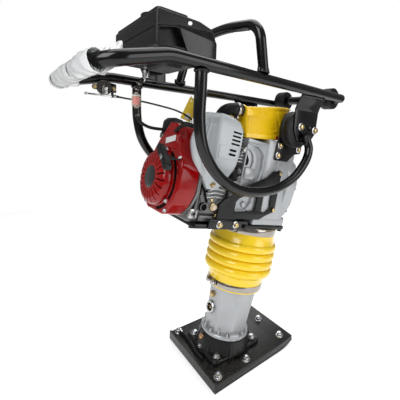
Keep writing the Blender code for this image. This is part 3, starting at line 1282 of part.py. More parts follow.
def handle_level(x, side):
    """Height of a side tube's axis; the left tube sits lower, more so toward the front."""
    share = (x - HANDLE_BEND) / (HANDLE_FRONT - HANDLE_BEND)
    dip = LEFT_DIP_REAR + (LEFT_DIP_FRONT - LEFT_DIP_REAR) * share
    return HANDLE_Z - (dip if side > 0 else 0)


def make_handle_mounts():
    """Brackets on the crankcase, a rubber mount each side and the plates that hang from the handle."""
    centre = LEG @ Vector((MOUNT_U, 0, MOUNT_W))
    x = centre.x
    z = centre.z
    foot = [(-0.036, 0.690), (0.028, 0.694), (0.056, 0.724), (0.088, 0.732), (0.086, 0.786), (0.046, 0.846),
            (-0.026, 0.846), (-0.034, 0.800)]
    foot_bolts = [(-0.022, 0.740), (-0.023, 0.707), (0.072, 0.744)]
    lower = [(x - 0.033, z + 0.068), (x - 0.033, z), (x - 0.012, z - 0.040), (x + 0.050, z - 0.040),
             (x + 0.080, z - 0.008), (x + 0.086, z + 0.068)]
    plate_bolts = [(x, z + 0.010), (x + 0.073, z + 0.002)]
    reach = handle_side(x)
    for name, side in (("right", -1), ("left", 1)):
        tube_foot = handle_level(x + PLATE_TOP_AHEAD, side) - TUBE_RADIUS - GAP
        near = CASE_HALF + GAP
        far = near + BRACKET_PLATE
        bracket = side_sheet("bracket", [foot], min(side * near, side * far), max(side * near, side * far), LEG)
        unite(bracket, side_bolts("bracket_bolts", foot_bolts, far, side, LEG))
        keep(bracket, "mount_bracket_" + name, BLACK)
        rubber = rod("rubber", (x, side * (far + GAP), z), (x, side * (PLATE_INNER - GAP), z), MOUNT_RADIUS,
                     sides=28)
        keep(rubber, "rubber_mount_" + name, RUBBER)
        near = PLATE_INNER
        far = near + PLATE_THICK
        plate = side_sheet("plate", [lower], min(side * near, side * far), max(side * near, side * far))
        upper = bmesh.new()
        bmesh.ops.create_cube(upper, size=1.0)
        for vert in upper.verts:
            high = vert.co.z > 0
            base = reach - PLATE_THICK / 2 if high else near
            vert.co = Vector((x + (PLATE_TOP_AHEAD if vert.co.x > 0 else -PLATE_TOP_BEHIND),
                              side * (base + (PLATE_THICK if vert.co.y > 0 else 0)),
                              tube_foot if high else z + 0.060))
        unite(plate, mesh_object("plate_top", upper), side_bolts("plate_bolts", plate_bolts, far, side))
        keep(plate, "mount_plate_" + name, BLACK)


def make_handle():
    """Handle frame with its cross tube and tank tabs, grip sleeve, rollers, arch and guard hoops."""
    corners = []
    for side in (-1, 1):
        leg = [(HANDLE_FRONT, side * handle_side(HANDLE_FRONT), handle_level(HANDLE_FRONT, side)),
               (HANDLE_BEND, side * handle_side(HANDLE_BEND), handle_level(HANDLE_BEND, side)),
               (HANDLE_REAR, side * handle_side(HANDLE_REAR), HANDLE_REAR_Z)]
        corners += leg if side < 0 else list(reversed(leg))
    frame = tube("frame", rounded_route(corners, HANDLE_CORNER, 4), TUBE_RADIUS)
    cross_half = handle_side(CROSS_X) - 0.004
    unite(frame, rod("cross_tube", (CROSS_X, -cross_half, HANDLE_Z), (CROSS_X, cross_half, HANDLE_Z),
                     CROSS_RADIUS))
    for side in (-1, 1):
        tank_side = side * (TANK_HALF + GAP)
        web = side * (TANK_HALF + GAP + TAB_THICK)
        middle = side * handle_side(TAB_REAR)
        level = handle_level(TAB_REAR + TAB_LENGTH, side) + TAB_THICK / 2
        unite(frame,
              box("tab_foot", (TAB_REAR, min(tank_side, middle), level),
                  (TAB_REAR + TAB_LENGTH, max(tank_side, middle), level + TAB_THICK)),
              box("tab_web", (TAB_REAR, min(tank_side, web), level + TAB_THICK / 2),
                  (TAB_REAR + TAB_LENGTH, max(tank_side, web), TANK_LOW + 0.030)))
    keep(frame, "handle_frame", BLACK)

    inner = TUBE_RADIUS + GAP
    profile = [(inner, GRIP_HALF), (GRIP_OUTER, GRIP_HALF), (GRIP_OUTER, -GRIP_HALF), (inner, -GRIP_HALF)]
    sleeve = turned("sleeve", profile, along_y((HANDLE_REAR, 0, HANDLE_REAR_Z)), steps=24, closed=True)
    keep(sleeve, "rear_grip", RUBBER)

    bore = CROSS_RADIUS + GAP
    for name, side in (("roller_right", -1), ("roller_left", 1)):
        middle = side * (ROLLER_INNER_Y + ROLLER_WIDTH / 2)
        half = ROLLER_WIDTH / 2
        wheel = turned(name, [(bore, half), (ROLLER_RADIUS - 0.003, half), (ROLLER_RADIUS, half - 0.003),
                              (ROLLER_RADIUS, 0.003 - half), (ROLLER_RADIUS - 0.003, -half), (bore, -half)],
                       along_y((CROSS_X, middle, HANDLE_Z)), steps=28, closed=True)
        keep(wheel, name, RUBBER)

    top_x = ARCH_X - ARCH_LEAN
    shoulder = handle_side(ARCH_X) - 0.004
    arch = []
    for side, foot_x in ((-1, ARCH_X), (1, ARCH_X - ARCH_LEFT_SWEEP)):
        foot = handle_level(foot_x, side) + TUBE_RADIUS + GAP
        foot_y = side * handle_side(foot_x)
        half = [(foot_x, foot_y, foot), (foot_x, foot_y, foot + ARCH_FOOT),
                (top_x, side * shoulder, ARCH_SHOULDER)]
        arch += half + [(top_x, 0, ARCH_CROWN)] if side < 0 else list(reversed(half))
    keep(tube("arch", rounded_route(arch, ARCH_BEND, 5), ARCH_RADIUS), "lifting_arch", BLACK)
    make_hoops()


def make_hoops():
    """Bent guard hoops from under the side tubes round the engine to the mount plates."""
    end_y = PLATE_INNER + PLATE_THICK + HOOP_RADIUS + GAP
    top_y = handle_side(HOOP_TOP_X)
    for name, side in (("guard_hoop_right", -1), ("guard_hoop_left", 1)):
        top = handle_level(HOOP_TOP_X, side) - TUBE_RADIUS - GAP
        places = [(HOOP_TOP_X, top_y, top), (HOOP_TOP_X, top_y, 0.850), (-0.286, top_y - 0.003, 0.780),
                  (-0.268, top_y - 0.006, 0.715), (-0.222, 0.171, 0.657), (-0.160, 0.169, 0.620),
                  (-0.085, 0.168, 0.605), (-0.005, 0.167, 0.609), (0.070, 0.166, 0.637), (0.120, 0.165, 0.684),
                  (0.139, 0.161, 0.722), (0.134, end_y, 0.750), (0.124, end_y, 0.768)]
        route = flowing_route([(x, side * y, z) for x, y, z in places], 0.030)
        keep(tube(name, route, HOOP_RADIUS, resolution=3), name, BLACK)


def make_tank():
    """Fuel tank between the side tubes, its cap, tap, filter and hoses."""
    outline = [(TANK_REAR + 0.004, TANK_LOW), (TANK_REAR, TANK_LOW + 0.006), (TANK_REAR, TANK_HIGH - 0.006),
               (TANK_REAR + 0.006, TANK_HIGH), (TANK_FRONT - 0.080, TANK_HIGH), (TANK_FRONT - 0.044, TANK_HIGH - 0.009),
               (TANK_FRONT - 0.018, TANK_HIGH - 0.028), (TANK_FRONT, TANK_HIGH - 0.052), (TANK_FRONT, TANK_LOW)]
    tank = side_sheet("tank", [outline], -TANK_HALF, TANK_HALF)
    corners = tank.modifiers.new("rounded_corners", "BEVEL")
    corners.width = TANK_CORNER
    corners.segments = 2
    corners.limit_method = "ANGLE"
    corners.angle_limit = math.radians(75)
    belly = box("belly", (BELLY_REAR, -BELLY_HALF, BELLY_LOW), (BELLY_FRONT, BELLY_HALF, TANK_LOW + 0.01))
    taper = belly.modifiers.new("rounded_belly", "BEVEL")
    taper.width = 0.012
    taper.segments = 2
    unite(tank, belly)
    keep(tank, "fuel_tank", BLACK_PLASTIC)

    seat = TANK_HIGH + GAP
    high = seat + CAP_HEIGHT
    cap = turned("cap", [(0, high), (CAP_RADIUS - 0.004, high), (CAP_RADIUS, high - 0.004), (CAP_RADIUS, seat),
                         (0, seat)], Matrix.Translation((CAP_X, CAP_Y, 0)), steps=20)
    keep(cap, "fuel_cap", BLACK_PLASTIC)

    tap_top = TANK_LOW - GAP
    tap = rod("tap", (TAP_X, TAP_Y, tap_top), (TAP_X, TAP_Y, TAP_LEVER_Z - 0.008), TAP_RADIUS, sides=12)
    outlet = Vector((TAP_X - TAP_SLANT, TAP_Y, TAP_LOW))
    unite(tap, rod("tap_outlet", (TAP_X, TAP_Y, TAP_LEVER_Z), outlet, HOSE_RADIUS, sides=12))
    keep(tap, "fuel_tap", STEEL)
    lever_y = TAP_Y + TAP_RADIUS * math.cos(math.pi / 12) + GAP
    lever = rod("tap_hub", (TAP_X, lever_y, TAP_LEVER_Z), (TAP_X, lever_y + 0.006, TAP_LEVER_Z), 0.006,
                sides=12)
    unite(lever, box("tap_arm", (TAP_X - 0.003, lever_y + 0.002, TAP_LEVER_Z - 0.018),
                     (TAP_X + 0.003, lever_y + 0.005, TAP_LEVER_Z)))
    keep(lever, "fuel_tap_lever", ZINC)

    filter_top = FUEL_FILTER_HIGH
    body = turned("fuel_bowl", [(0, filter_top), (0.005, filter_top), (FUEL_FILTER_RADIUS, filter_top - 0.006),
                                (FUEL_FILTER_RADIUS, FUEL_FILTER_LOW + 0.006), (0.005, FUEL_FILTER_LOW),
                                (0, FUEL_FILTER_LOW)], Matrix.Translation((FUEL_FILTER_X, FUEL_FILTER_Y, 0)),
                  steps=16)
    keep(body, "fuel_filter", CLEAR_PLASTIC)
    away = (outlet - Vector((TAP_X, TAP_Y, TAP_LEVER_Z))).normalized()
    upper = [outlet + away * GAP, outlet + away * 0.006,
             (FUEL_FILTER_X, FUEL_FILTER_Y, filter_top + 0.007),
             (FUEL_FILTER_X, FUEL_FILTER_Y, filter_top + GAP)]
    keep(tube("upper_hose", flowing_route(upper, 0.009), HOSE_RADIUS, resolution=2), "fuel_hose_upper", RUBBER)
    hose_end = LEG @ Vector((AIR_BOX_REAR - GAP, 0.068, 0.712))
    back = LEG.to_3x3() @ Vector((-1, 0, 0))
    lower = [(FUEL_FILTER_X, FUEL_FILTER_Y, FUEL_FILTER_LOW - GAP), (FUEL_FILTER_X, FUEL_FILTER_Y, 0.800),
             (-0.310, 0.101, 0.779),
             (-0.293, 0.095, 0.766), (-0.270, 0.085, 0.760), hose_end + back * 0.016, hose_end]
    keep(tube("lower_hose", flowing_route(lower, 0.013), HOSE_RADIUS, resolution=2), "fuel_hose_lower", RUBBER)


def make_throttle():
    """Throttle housing under the left side tube, its lever and the cable to the carburettor box."""
    x = THROTTLE_X
    z = THROTTLE_Z
    housing = rod("drum_housing", (x, THROTTLE_IN, z), (x, THROTTLE_OUT, z), THROTTLE_RADIUS, sides=24)
    bend_level = handle_level(HANDLE_BEND, 1)
    tube_slope = (bend_level - HANDLE_REAR_Z) / (HANDLE_BEND - HANDLE_REAR)
    tube_z = bend_level - (HANDLE_BEND - x) * tube_slope
    strap_top = tube_z - TUBE_RADIUS * 0.80
    unite(housing,
          box("ears", (x - 0.032, THROTTLE_OUT - 0.006, z - 0.007),
              (x + 0.024, THROTTLE_OUT - 0.001, z + 0.007)),
          box("strap", (x - 0.014, THROTTLE_OUT - 0.004, z), (x + 0.010, THROTTLE_OUT + 0.001, strap_top)),
          box("adjuster", (x + 0.019, THROTTLE_IN + 0.001, CABLE_Z - 0.005),
              (x + 0.0245, THROTTLE_OUT - 0.001, z)))
    keep(housing, "throttle_housing", GREY_PLASTIC)

    lever_in = THROTTLE_IN - GAP - LEVER_THICK
    lever = rod("lever_hub", (x, lever_in, z), (x, THROTTLE_IN - GAP, z), 0.011, sides=16)
    unite(lever,
          box("lever_link", (x - 0.006, lever_in + 0.0005, LEVER_BAR_Z),
              (x + 0.006, THROTTLE_IN - GAP - 0.0005, z)),
          box("lever_bar", (LEVER_TIP_X, lever_in + 0.001, LEVER_BAR_Z - 0.0005),
              (x + 0.018, THROTTLE_IN - GAP - 0.001, LEVER_BAR_Z + 0.0045)))
    keep(lever, "throttle_lever", ZINC)

    y = (THROTTLE_IN + THROTTLE_OUT) / 2
    start = Vector((x + 0.0245 + GAP, y, CABLE_Z))
    end = LEG @ Vector((AIR_BOX_REAR + CABLE_IN_U, CABLE_IN_Y, AIR_BOX_HIGH + GAP))
    up = LEG.to_3x3() @ Vector((0, 0, 1))
    route = flowing_route([start, (-0.325, y, 0.842), (-0.300, 0.140, 0.838), (-0.249, 0.100, 0.827),
                           (-0.205, 0.072, 0.815), end + up * 0.016, end], 0.011)
    keep(tube("cable", route, CABLE_RADIUS, resolution=2), "throttle_cable", RUBBER)


def main():
    """Build the whole machine."""
    clear_scene()
    make_shoe()
    make_foot_casting()
    make_leg()
    make_springs()
    make_ram()
    make_gears()
    make_guide()
    make_bellows()
    make_crankcase()
    make_engine()
    make_deck()
    make_air_filter()
    make_handle_mounts()
    make_handle()
    make_tank()
    make_throttle()


main()
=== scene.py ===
"""Tamping rammer: surfaces, fine shapes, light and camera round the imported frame.

Metres, +Z up, +X is the way the machine travels, +Y is the operator's left.
Places in the leaning leg are (u, y, w): forward, left and along the leg.
"""
import math

import bmesh
import bpy
from mathutils import Matrix, Vector


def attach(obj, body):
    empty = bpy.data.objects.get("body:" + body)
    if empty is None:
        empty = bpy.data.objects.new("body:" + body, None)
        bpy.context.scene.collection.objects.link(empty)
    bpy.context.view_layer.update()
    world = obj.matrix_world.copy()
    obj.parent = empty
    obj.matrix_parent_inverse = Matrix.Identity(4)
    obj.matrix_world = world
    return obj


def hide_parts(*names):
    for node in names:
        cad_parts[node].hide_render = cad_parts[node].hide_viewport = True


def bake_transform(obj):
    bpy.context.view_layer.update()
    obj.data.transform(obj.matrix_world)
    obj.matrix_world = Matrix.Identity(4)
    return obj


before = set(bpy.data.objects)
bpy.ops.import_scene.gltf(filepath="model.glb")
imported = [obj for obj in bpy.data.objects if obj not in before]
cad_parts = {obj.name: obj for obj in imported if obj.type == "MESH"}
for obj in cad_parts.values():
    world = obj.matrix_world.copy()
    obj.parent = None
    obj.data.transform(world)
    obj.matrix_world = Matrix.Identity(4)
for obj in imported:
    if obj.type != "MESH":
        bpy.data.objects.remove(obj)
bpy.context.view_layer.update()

GAP = 0.0003
LEAN = math.radians(10.9)
LEG_FOOT_X = -0.049
LEG = Matrix.Translation((LEG_FOOT_X, 0, 0)) @ Matrix.Rotation(LEAN, 4, "Y")
WORLD = Matrix.Identity(4)
SIDE_VIEW = Matrix.Rotation(math.pi / 2, 4, "X")
REAR_VIEW = Matrix(((0, 0, 1, 0), (1, 0, 0, 0), (0, 1, 0, 0), (0, 0, 0, 1)))
SIDES = (("right", -1), ("left", 1))
PATCH_SCALE = 14.0
GRAIN_DEPTH = 0.0006
FILM_THICK = 0.0003
MATERIALS = {}


# Materials

def finish(name, colour, rough, metal=0.0, coat=0.0, spread=0.12, mottle=0.06, grain=0.05,
           grain_scale=900.0, wear=None, wear_share=0.5, specular=0.5, alpha=1.0, emission=0.0):
    """A painted, cast, moulded or plated surface: patchy colour and gloss, fine grain and worn edges."""
    material = bpy.data.materials.new(name)
    material.use_nodes = True
    nodes = material.node_tree.nodes
    links = material.node_tree.links
    shader = nodes["Principled BSDF"]
    place = nodes.new("ShaderNodeTexCoord")
    source = place.outputs["Object"]

    def noise(scale, detail):
        node = nodes.new("ShaderNodeTexNoise")
        node.inputs["Scale"].default_value = scale
        node.inputs["Detail"].default_value = detail
        node.inputs["Roughness"].default_value = 0.6
        links.new(source, node.inputs["Vector"])
        return node.outputs["Fac"]

    def remap(value, low, high, new_low, new_high):
        node = nodes.new("ShaderNodeMapRange")
        node.inputs["From Min"].default_value = low
        node.inputs["From Max"].default_value = high
        node.inputs["To Min"].default_value = new_low
        node.inputs["To Max"].default_value = new_high
        links.new(value, node.inputs["Value"])
        return node.outputs["Result"]

    def mix(factor, first, second):
        node = nodes.new("ShaderNodeMix")
        node.data_type = "RGBA"
        links.new(factor, node.inputs["Factor"])
        for socket, value in ((node.inputs["A"], first), (node.inputs["B"], second)):
            if isinstance(value, tuple):
                socket.default_value = (*value, 1.0)
            else:
                links.new(value, socket)
        return node.outputs["Result"]

    patch = noise(PATCH_SCALE, 5.0)
    dark = tuple(channel * (1 - mottle) for channel in colour)
    light = tuple(min(1.0, channel * (1 + mottle)) for channel in colour)
    shade = mix(remap(patch, 0.35, 0.65, 0.0, 1.0), dark, light)
    fine = noise(PATCH_SCALE * 6, 6.0)
    gloss = remap(fine, 0.3, 0.7, max(0.02, rough * (1 - spread)), min(1.0, rough * (1 + spread)))
    if wear:
        geometry = nodes.new("ShaderNodeNewGeometry")
        edge = remap(geometry.outputs["Pointiness"], 0.53, 0.6, 0.0, 1.0)
        broken = remap(noise(PATCH_SCALE * 9, 6.0), 0.45, 0.6, 0.0, wear_share)
        product = nodes.new("ShaderNodeMath")
        product.operation = "MULTIPLY"
        product.use_clamp = True
        links.new(edge, product.inputs[0])
        links.new(broken, product.inputs[1])
        shade = mix(product.outputs["Value"], shade, wear)
    links.new(shade, shader.inputs["Base Color"])
    links.new(gloss, shader.inputs["Roughness"])
    if grain:
        bump = nodes.new("ShaderNodeBump")
        bump.inputs["Strength"].default_value = grain
        bump.inputs["Distance"].default_value = GRAIN_DEPTH
        links.new(noise(grain_scale, 3.0), bump.inputs["Height"])
        links.new(bump.outputs["Normal"], shader.inputs["Normal"])
    shader.inputs["Metallic"].default_value = metal
    shader.inputs["Coat Weight"].default_value = coat
    shader.inputs["Coat Roughness"].default_value = 0.08
    shader.inputs["Alpha"].default_value = alpha
    shader.inputs["Specular IOR Level"].default_value = specular
    shader.inputs["Emission Color"].default_value = (1.0, 1.0, 1.0, 1.0)
    shader.inputs["Emission Strength"].default_value = emission
    MATERIALS[name] = material


finish("gloss_black", (0.0015, 0.0015, 0.0018), 0.19, coat=0.25, spread=0.2, grain=0.003, grain_scale=160.0,
       specular=0.3)
finish("plate_black", (0.0024, 0.00252, 0.00276), 0.34, coat=0.06, spread=0.2, grain=0.04,
       grain_scale=400.0, specular=0.3)
finish("shoe_black", (0.0026, 0.0026, 0.0028), 0.36, spread=0.2, mottle=0.2, grain=0.015, grain_scale=260.0,
       specular=0.35, wear=(0.06, 0.056, 0.05), wear_share=0.5)
finish("throttle_grey", (0.03, 0.028, 0.026), 0.36, metal=0.3, spread=0.2, grain=0.05, grain_scale=360.0)
finish("cast_black", (0.00312, 0.00312, 0.00338), 0.38, coat=0.06, spread=0.2, grain=0.12,
       grain_scale=360.0, specular=0.35, wear=(0.05, 0.047, 0.042), wear_share=0.35)
finish("cast_silver", (0.41, 0.425, 0.44), 0.36, metal=0.4, spread=0.2, mottle=0.05, grain=0.06,
       grain_scale=700.0)
finish("cast_bright", (0.5, 0.505, 0.51), 0.3, metal=0.75, spread=0.3, mottle=0.08, grain=0.03,
       grain_scale=500.0)
finish("cast_dull", (0.15, 0.15, 0.15), 0.42, metal=0.6, spread=0.3, mottle=0.3, grain=0.08,
       grain_scale=420.0)
finish("guard_grey", (0.47, 0.5, 0.52), 0.33, coat=0.12, spread=0.15, mottle=0.03, grain=0.02,
       grain_scale=600.0)
finish("red_gloss", (0.27, 0.0006, 0.0012), 0.17, coat=0.06, spread=0.2, mottle=0.08, grain=0.01,
       grain_scale=160.0, specular=0.35)
finish("bellows_yellow", (0.9, 0.62, 0.014), 0.24, coat=0.4, spread=0.15, mottle=0.01, grain=0.01,
       grain_scale=240.0)
finish("filter_yellow", (0.9, 0.57, 0.003), 0.28, coat=0.2, spread=0.2, mottle=0.04, grain=0.05,
       grain_scale=420.0)
finish("tank_black", (0.0068, 0.00704, 0.00736), 0.48, spread=0.15, mottle=0.12, grain=0.12,
       grain_scale=900.0, specular=0.35)
finish("plastic_black", (0.0045, 0.0045, 0.005), 0.4, spread=0.2, grain=0.06, grain_scale=700.0,
       specular=0.35)
finish("rubber_black", (0.0048, 0.0048, 0.0048), 0.5, spread=0.15, mottle=0.15, grain=0.08,
       grain_scale=500.0, specular=0.3)
finish("clamp_steel", (0.36, 0.33, 0.3), 0.14, metal=1.0, spread=0.35, mottle=0.06, grain=0.03,
       grain_scale=300.0)
finish("bright_steel", (0.5, 0.5, 0.49), 0.2, metal=1.0, spread=0.3, mottle=0.1, grain=0.04,
       grain_scale=400.0)
finish("zinc", (0.55, 0.56, 0.58), 0.22, metal=1.0, spread=0.35, mottle=0.12, grain=0.06, grain_scale=600.0)
finish("gold_zinc", (0.52, 0.4, 0.2), 0.26, metal=1.0, spread=0.35, mottle=0.2, grain=0.05,
       grain_scale=500.0)
finish("copper_zinc", (0.5, 0.31, 0.16), 0.3, metal=1.0, spread=0.3, mottle=0.2, grain=0.05,
       grain_scale=500.0)
# Near-black, matte and almost unreflecting: painted shade in gaps, holes and hollows, and the colour of
# some small black parts.
finish("painted_shade_and_black", (0.002, 0.002, 0.002), 0.85, spread=0.1, grain=0.04, specular=0.1)
finish("label_dark", (0.02, 0.021, 0.023), 0.3, coat=0.2, mottle=0.1, grain=0.03, grain_scale=300.0)
finish("label_white", (0.72, 0.73, 0.72), 0.45, mottle=0.03, grain=0.03)
finish("tag_yellow", (0.86, 0.6, 0.02), 0.5, mottle=0.04, grain=0.04)
finish("film", (0.84, 0.85, 0.86), 0.22, coat=0.2, spread=0.4, mottle=0.03, grain=0.12, grain_scale=60.0,
       alpha=0.86)
finish("film_fold", (0.86, 0.87, 0.88), 0.22, spread=0.4, mottle=0.03, grain=0.3, grain_scale=80.0,
       alpha=0.8)
finish("clear_plastic", (0.86, 0.8, 0.7), 0.1, coat=0.3, mottle=0.05, grain=0.0, alpha=0.32)
finish("cream_plastic", (0.6, 0.5, 0.36), 0.4, mottle=0.08, grain=0.02)
finish("filter_red", (0.8, 0.03, 0.01), 0.5, mottle=0.1, grain=0.05, grain_scale=900.0)
finish("grey_alloy", (0.17, 0.17, 0.168), 0.42, metal=0.4, spread=0.25, mottle=0.15, grain=0.05,
       grain_scale=500.0)


# Shapes

def T(u, y, w):
    """World place of a point of the leaning leg."""
    return LEG @ Vector((u, y, w))


def in_leg(points):
    """World places of points of the leaning leg."""
    return [LEG @ Vector(point) for point in points]


def leg_way(u, y, w):
    """World direction of a direction in the leaning leg."""
    return LEG.to_3x3() @ Vector((u, y, w))


def spun(matrix, angle):
    """A frame turned about its own Z axis."""
    return matrix @ Matrix.Rotation(angle, 4, "Z")


def along(place, direction, turn=0.0):
    """A frame at a place whose Z axis points in a direction."""
    quaternion = Vector(direction).to_track_quat("Z", "Y")
    return spun(Matrix.Translation(place) @ quaternion.to_matrix().to_4x4(), turn)


def add(bm, shape, frame_matrix=WORLD, slot=0):
    """Move a finished shape into a piece, with one of the piece's materials."""
    for face in shape.faces:
        face.material_index = slot
    shape.transform(frame_matrix)
    mesh = bpy.data.meshes.new("shape")
    shape.to_mesh(mesh)
    shape.free()
    bm.from_mesh(mesh)
    bpy.data.meshes.remove(mesh)


def round_edges(bm, width, segments=2, angle=30):
    """Bevel the edges of a shape that are sharper than an angle."""
    edges = [edge for edge in bm.edges
             if len(edge.link_faces) == 2 and edge.calc_face_angle(0.0) > math.radians(angle)]
    if edges and width:
        bmesh.ops.bevel(bm, geom=edges, offset=width, segments=segments, profile=0.5, affect="EDGES",
                        clamp_overlap=True)
    return bm


def block(corner, opposite, bevel=0.002, segments=2):
    """A box with rounded edges between two opposite corners."""
    low = Vector(tuple(map(min, corner, opposite)))
    high = Vector(tuple(map(max, corner, opposite)))
    bm = bmesh.new()
    bmesh.ops.create_cube(bm, size=1.0)
    bmesh.ops.scale(bm, vec=high - low, verts=bm.verts)
    bmesh.ops.translate(bm, vec=(low + high) / 2, verts=bm.verts)
    return round_edges(bm, bevel, segments)


def lathe(profile, steps=64, closed=False):
    """A turned shape about Z from (radius, height) points."""
    bm = bmesh.new()
    rings = []
    for radius, height in profile:
        if radius < 1e-6:
            rings.append([bm.verts.new((0, 0, height))])
        else:
            rings.append([bm.verts.new((radius * math.cos(2 * math.pi * index / steps),
                                        radius * math.sin(2 * math.pi * index / steps), height))
                          for index in range(steps)])
    pairs = list(zip(rings, rings[1:]))
    if closed:
        pairs.append((rings[-1], rings[0]))
    for first, second in pairs:
        if len(first) == 1 and len(second) == 1:
            continue
        for index in range(steps):
            after = (index + 1) % steps
            if len(first) == 1:
                bm.faces.new((first[0], second[after], second[index]))
            elif len(second) == 1:
                bm.faces.new((first[index], first[after], second[0]))
            else:
                bm.faces.new((first[index], first[after], second[after], second[index]))
    bmesh.ops.recalc_face_normals(bm, faces=bm.faces)
    return bm


def collar(inner, outer, top, low, steps):
    """A square-edged ring about Z."""
    return lathe([(inner, top), (outer, top), (outer, low), (inner, low)], steps, closed=True)


def mirrored(half):
    """A profile and its mirror image below height 0."""
    return half + [(radius, -height) for radius, height in reversed(half)]


def hexagon(radius, height, middle, bevel):
    """A six-sided head about Z."""
    bm = bmesh.new()
    bmesh.ops.create_cone(bm, cap_ends=True, segments=6, radius1=radius, radius2=radius, depth=height)
    bmesh.ops.translate(bm, vec=(0, 0, middle), verts=bm.verts)
    return round_edges(bm, bevel, 2, 40)


def rod(start, end, radius, radius_end=None, sides=32, bevel=0.0):
    """A round or many-sided bar between two points, with rounded rims."""
    start = Vector(start)
    span = Vector(end) - start
    bm = bmesh.new()
    top = radius if radius_end is None else radius_end
    bmesh.ops.create_cone(bm, cap_ends=True, segments=sides, radius1=radius, radius2=top, depth=span.length)
    round_edges(bm, bevel, 2, 60 if sides > 12 else 50)
    bm.transform(along(start + span / 2, span))
    return bm


def sweep(points, radius, sides=20):
    """A round tube with closed ends along points; the radius may differ from point to point."""
    points = [Vector(point) for point in points]
    radii = radius if isinstance(radius, (list, tuple)) else [radius] * len(points)
    bm = bmesh.new()
    side = None
    rings = []
    for index, point in enumerate(points):
        ahead = points[min(index + 1, len(points) - 1)] - points[max(index - 1, 0)]
        ahead.normalize()
        if side is None:
            side = ahead.orthogonal().normalized()
        side = (side - ahead * side.dot(ahead)).normalized()
        across = ahead.cross(side)
        rings.append([bm.verts.new(point + (side * math.cos(2 * math.pi * turn / sides)
                                            + across * math.sin(2 * math.pi * turn / sides)) * radii[index])
                      for turn in range(sides)])
    for first, second in zip(rings, rings[1:]):
        for index in range(sides):
            after = (index + 1) % sides
            bm.faces.new((first[index], first[after], second[after], second[index]))
    bm.faces.new(list(reversed(rings[0])))
    bm.faces.new(rings[-1])
    return bm


def plate(outlines, low, high, bevel=0.0015, segments=2):
    """A flat outline with holes, as lists of points, between two heights of local Z; rounded edges."""
    curve = bpy.data.curves.new("outline", "CURVE")
    curve.dimensions = "2D"
    curve.fill_mode = "BOTH"
    curve.extrude = max(0.0, (high - low) / 2 - bevel)
    curve.bevel_depth = bevel
    curve.bevel_resolution = segments
    curve.offset = -bevel
    for outline in outlines:
        line = curve.splines.new("POLY")
        line.points.add(len(outline) - 1)
        for place, point in zip(line.points, outline):
            place.co = (point[0], point[1], 0.0, 1.0)
        line.use_cyclic_u = True
    source = bpy.data.objects.new("outline", curve)
    bpy.context.scene.collection.objects.link(source)
    bpy.context.view_layer.update()
    mesh = bpy.data.meshes.new_from_object(source.evaluated_get(bpy.context.evaluated_depsgraph_get()))
    bm = bmesh.new()
    bm.from_mesh(mesh)
    bmesh.ops.remove_doubles(bm, verts=bm.verts, dist=0.00001)
    bmesh.ops.recalc_face_normals(bm, faces=bm.faces)
    bmesh.ops.translate(bm, vec=(0, 0, (low + high) / 2), verts=bm.verts)
    bpy.data.objects.remove(source, do_unlink=True)
    bpy.data.curves.remove(curve)
    bpy.data.meshes.remove(mesh)
    return bm


def rounded(corners, radius, steps=5, closed=True):
    """An outline or route through corner points whose corners are rounded arcs."""
    corners = [Vector(corner).to_3d() for corner in corners]
    count = len(corners)
    route = [] if closed else [corners[0]]
    for index in range(0 if closed else 1, count if closed else count - 1):
        corner = corners[index]
        before = corners[index - 1]
        after = corners[(index + 1) % count]
        back = (before - corner).normalized()
        ahead = (after - corner).normalized()
        half = max(0.01, back.angle(ahead) / 2)
        size = radius[index] if isinstance(radius, (list, tuple)) else radius
        if size <= 0 or half > math.radians(89):
            route.append(corner)
            continue
        reach = min(size / math.tan(half), 0.49 * (before - corner).length, 0.49 * (after - corner).length)
        bend = reach * math.tan(half)
        middle = corner + (back + ahead).normalized() * (bend / math.sin(half))
        first = corner + back * reach - middle
        last = corner + ahead * reach - middle
        for step in range(steps + 1):
            route.append(middle + first.slerp(last, step / steps).normalized() * first.length)
    if not closed:
        route.append(corners[-1])
    return route


def curve_at(p0, p1, p2, p3, t):
    """Place on the smooth curve through four values, a share t of the way from the second to the third."""
    return 0.5 * (2 * p1 + (p2 - p0) * t + (2 * p0 - 5 * p1 + 4 * p2 - p3) * t * t
                  + (3 * p1 - p0 - 3 * p2 + p3) * t * t * t)


def flowing(points, spacing):
    """Points at a steady spacing on a smooth curve through chosen points, straight at both ends."""
    points = [Vector(point) for point in points]
    route = points[:2]
    for p0, p1, p2, p3 in zip(points, points[1:], points[2:], points[3:]):
        count = max(1, round((p2 - p1).length / spacing))
        route += [curve_at(p0, p1, p2, p3, index / count) for index in range(1, count + 1)]
    route.append(points[-1])
    return route


def circle(centre, radius, count=32):
    """Points round a circle."""
    return [(centre[0] + radius * math.cos(2 * math.pi * index / count),
             centre[1] + radius * math.sin(2 * math.pi * index / count)) for index in range(count)]


def arc(centre, radius, first, last, steps):
    """Points along part of a circle between two angles in degrees."""
    angles = [math.radians(first + (last - first) * index / steps) for index in range(steps + 1)]
    return [(centre[0] + radius * math.cos(angle), centre[1] + radius * math.sin(angle))
            for angle in angles]


def rectangle(low, high):
    """Outline of a rectangle between its lower left and upper right corners."""
    return [low, (high[0], low[1]), high, (low[0], high[1])]


def skin(sections, closed_ends=True):
    """A skin over sections with equal numbers of points."""
    bm = bmesh.new()
    rings = [[bm.verts.new(point) for point in section] for section in sections]
    for lower, upper in zip(rings, rings[1:]):
        for index in range(len(lower)):
            after = (index + 1) % len(lower)
            bm.faces.new((lower[index], lower[after], upper[after], upper[index]))
    if closed_ends:
        bm.faces.new(rings[0])
        bm.faces.new(rings[-1])
    bmesh.ops.recalc_face_normals(bm, faces=bm.faces)
    return bm


